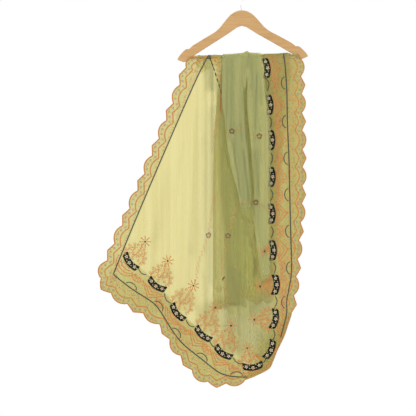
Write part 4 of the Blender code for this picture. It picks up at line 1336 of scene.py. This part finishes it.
mauveParts = []
for x, s in onCloth(mauvePlaces, 5.0):
    start = float(rng.uniform(0, 1.2))
    mauveParts.append(bossPieces(petalsRound(x, s, 10.0, 5, start), 4.4, 2.8, 0.35, onFront, s0))
for x, s in onCloth(dotPlaces, 5.0):
    start = float(rng.uniform(0, 1.2))
    mauveParts.append(bossPieces(petalsRound(x, s, 7.0, 4, start), 3.0, 1.8, 0.35, onFront, s0))
mauveFront = stitched("mauve_flowers", mauveParts, looks["mauve"])


# The same stitching on the back fall

def backHemAt(width):
    return backHem(np.asarray(width, float), np.full(len(np.atleast_1d(width)), backShape["length"]))


def backLineSide(width, low):
    return [(width, 6.0), (width, 3.0 + low / 2), (width, low)]


def backHemLine(inset, start, end):
    width = np.linspace(start, end, 260)
    return np.stack([width, backHemAt(width) - inset], axis=1)


backEdge = [backLineSide(1.6, 832), backLineSide(898.4, 832), backHemLine(1.2, 2, 898)]
edgingBack = stitched("back_edging_cord", [cordPieces(backEdge, 3.4, 1.3, onBack, s0)], looks["copper"])
wideWave = [(24 + 8 * math.sin(s / 64 * math.pi), s) for s in np.arange(8, 812, 4)]
narrowWave = [(876 + 5 * math.sin(s / 20), s) for s in np.arange(8, 812, 4)]
backSecond = [wideWave, backHemLine(24, 24, 876), narrowWave]
secondBack = stitched("back_second_line", [cordPieces(backSecond, 3.2, 0.7, onBack, s0)], looks["copper"])
backDark = [backLineSide(56, 800), backHemLine(64, 56, 844), backLineSide(844, 800)]
darkParts = [cordPieces(backDark, 3.6, 0.7, onBack, s0 + 0.2)]
backFans, backArcs = [], []


def backRoutes(s, routes):
    return [np.array([(backPatchFromEdge - v, s + u) for u, v in route]) for route in routes]


for k, s in enumerate(backPatches):
    backFans += backRoutes(s, chevrons(k % 2 == 0))
for a, b in zip(backPatches, backPatches[1:]):
    backFans += backRoutes((a + b) / 2, betweenFans())
    backArcs += backRoutes((a + b) / 2, [[(u, 63 - v) for u, v in darkArc], connector])
darkParts.append(cordPieces(backArcs, 2.6, 0.6, onBack, s0 + 0.2))
darkBack = stitched("back_dark_line", darkParts, looks["dark"])
fanBack = stitched("back_fan_stitch", [cordPieces(backFans, 2.0, 0.5, onBack, s0)], looks["fine"])
backLeaves, backStones = [], []
for s in backPatches:
    # spray of leaves on the field's side of each patch
    for u0, bend in ((-30, -8), (0, 0), (30, 8)):
        stem = [(10, u0), (38, u0 * 0.7 + bend), (72, 0)]
        stem = [(backPatchFromEdge + out, s + aside) for out, aside in stem]
        backLeaves.append(bossPieces(leafChain(stem, 6.0), 7.5, 2.6, 0.5, onBack, s0))
    backLeaves.append(bossPieces(petalsRound(backPatchFromEdge + 80, s, 30, 8), 9.0, 3.6, 0.6, onBack, s0))
    backStones.append(bossPieces([(backPatchFromEdge + 80, s, 0.0)], 5.0, 5.0, 1.4, onBack, s0 + 0.2, 8))
sprayBack = stitched("back_spray_stitch", backLeaves, looks["fine"])
stonesBack = stitched("back_spray_stones", backStones, looks["stone"])
print("stitching done")

# The hanger's own wood and wire
for name in ("hanger_arms", "trouser_bar"):
    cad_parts[name].data.materials.clear()
    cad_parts[name].data.materials.append(looks["wood"])
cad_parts["hook"].data.materials.clear()
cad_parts["hook"].data.materials.append(looks["steel"])


# Floor, light and camera
studio = {"floorZ": -1.75, "floorR": 1.5, "photoMiddle": (-0.1136, -0.7529), "photoWidth": 1.4144,
          "distance": 5.0, "aim": (-0.1, 0.0, -0.7)}
bpy.ops.object.select_all(action="DESELECT")
bpy.ops.mesh.primitive_circle_add(vertices=96, radius=studio["floorR"], fill_type="NGON",
                                  location=(0, 0, studio["floorZ"]))
floor = bpy.context.object
floor.name = "floor"
bpy.ops.object.transform_apply(location=True, rotation=True, scale=True)
floorMade, floorTree, floorPlace = newMaterial("pale matt floor")
floorNoise = addNode(floorTree, "TexNoise", {"Vector": floorPlace, "Scale": 30.0})
floorColour = addNode(floorTree, "ValToRGB", {"Fac": floorNoise}, stops=[(0.3, "#efeeea"), (0.7, "#f4f3f0")])
floorShader = addNode(floorTree, "BsdfPrincipled", {"Base Color": floorColour, "Roughness": 0.9})
addNode(floorTree, "OutputMaterial", {"Surface": floorShader})
floor.data.materials.append(floorMade)

world = bpy.data.worlds.new("studio")
bpy.context.scene.world = world
world.use_nodes = True
world.node_tree.nodes["Background"].inputs["Color"].default_value = (1.0, 1.0, 1.0, 1.0)
world.node_tree.nodes["Background"].inputs["Strength"].default_value = 1.0


def softLight(name, place, size, watts):
    bpy.ops.object.light_add(type="AREA", location=place)
    light = bpy.context.object
    light.name = name
    light.data.size = size
    light.data.energy = watts
    aim = Vector(studio["aim"]) - Vector(place)
    light.rotation_euler = aim.to_track_quat("-Z", "Y").to_euler()


softLight("key", (-2.4, -3.0, 1.4), 1.2, 55.0)
softLight("fill", (2.6, -2.6, 0.2), 2.0, 14.0)
softLight("back", (1.0, 3.4, 1.0), 1.6, 24.0)

cameraData = bpy.data.cameras.new("photo camera")
camera = bpy.data.objects.new("photo camera", cameraData)
bpy.context.scene.collection.objects.link(camera)
camera.location = (studio["photoMiddle"][0], -studio["distance"], studio["photoMiddle"][1])
camera.rotation_euler = (math.radians(90), 0, 0)
cameraData.lens = cameraData.sensor_width * studio["distance"] / studio["photoWidth"]
bpy.context.scene.camera = camera
bpy.context.scene.view_settings.view_transform = "Standard"
bpy.context.scene.cycles.transparent_max_bounces = 64
print("studio ready")
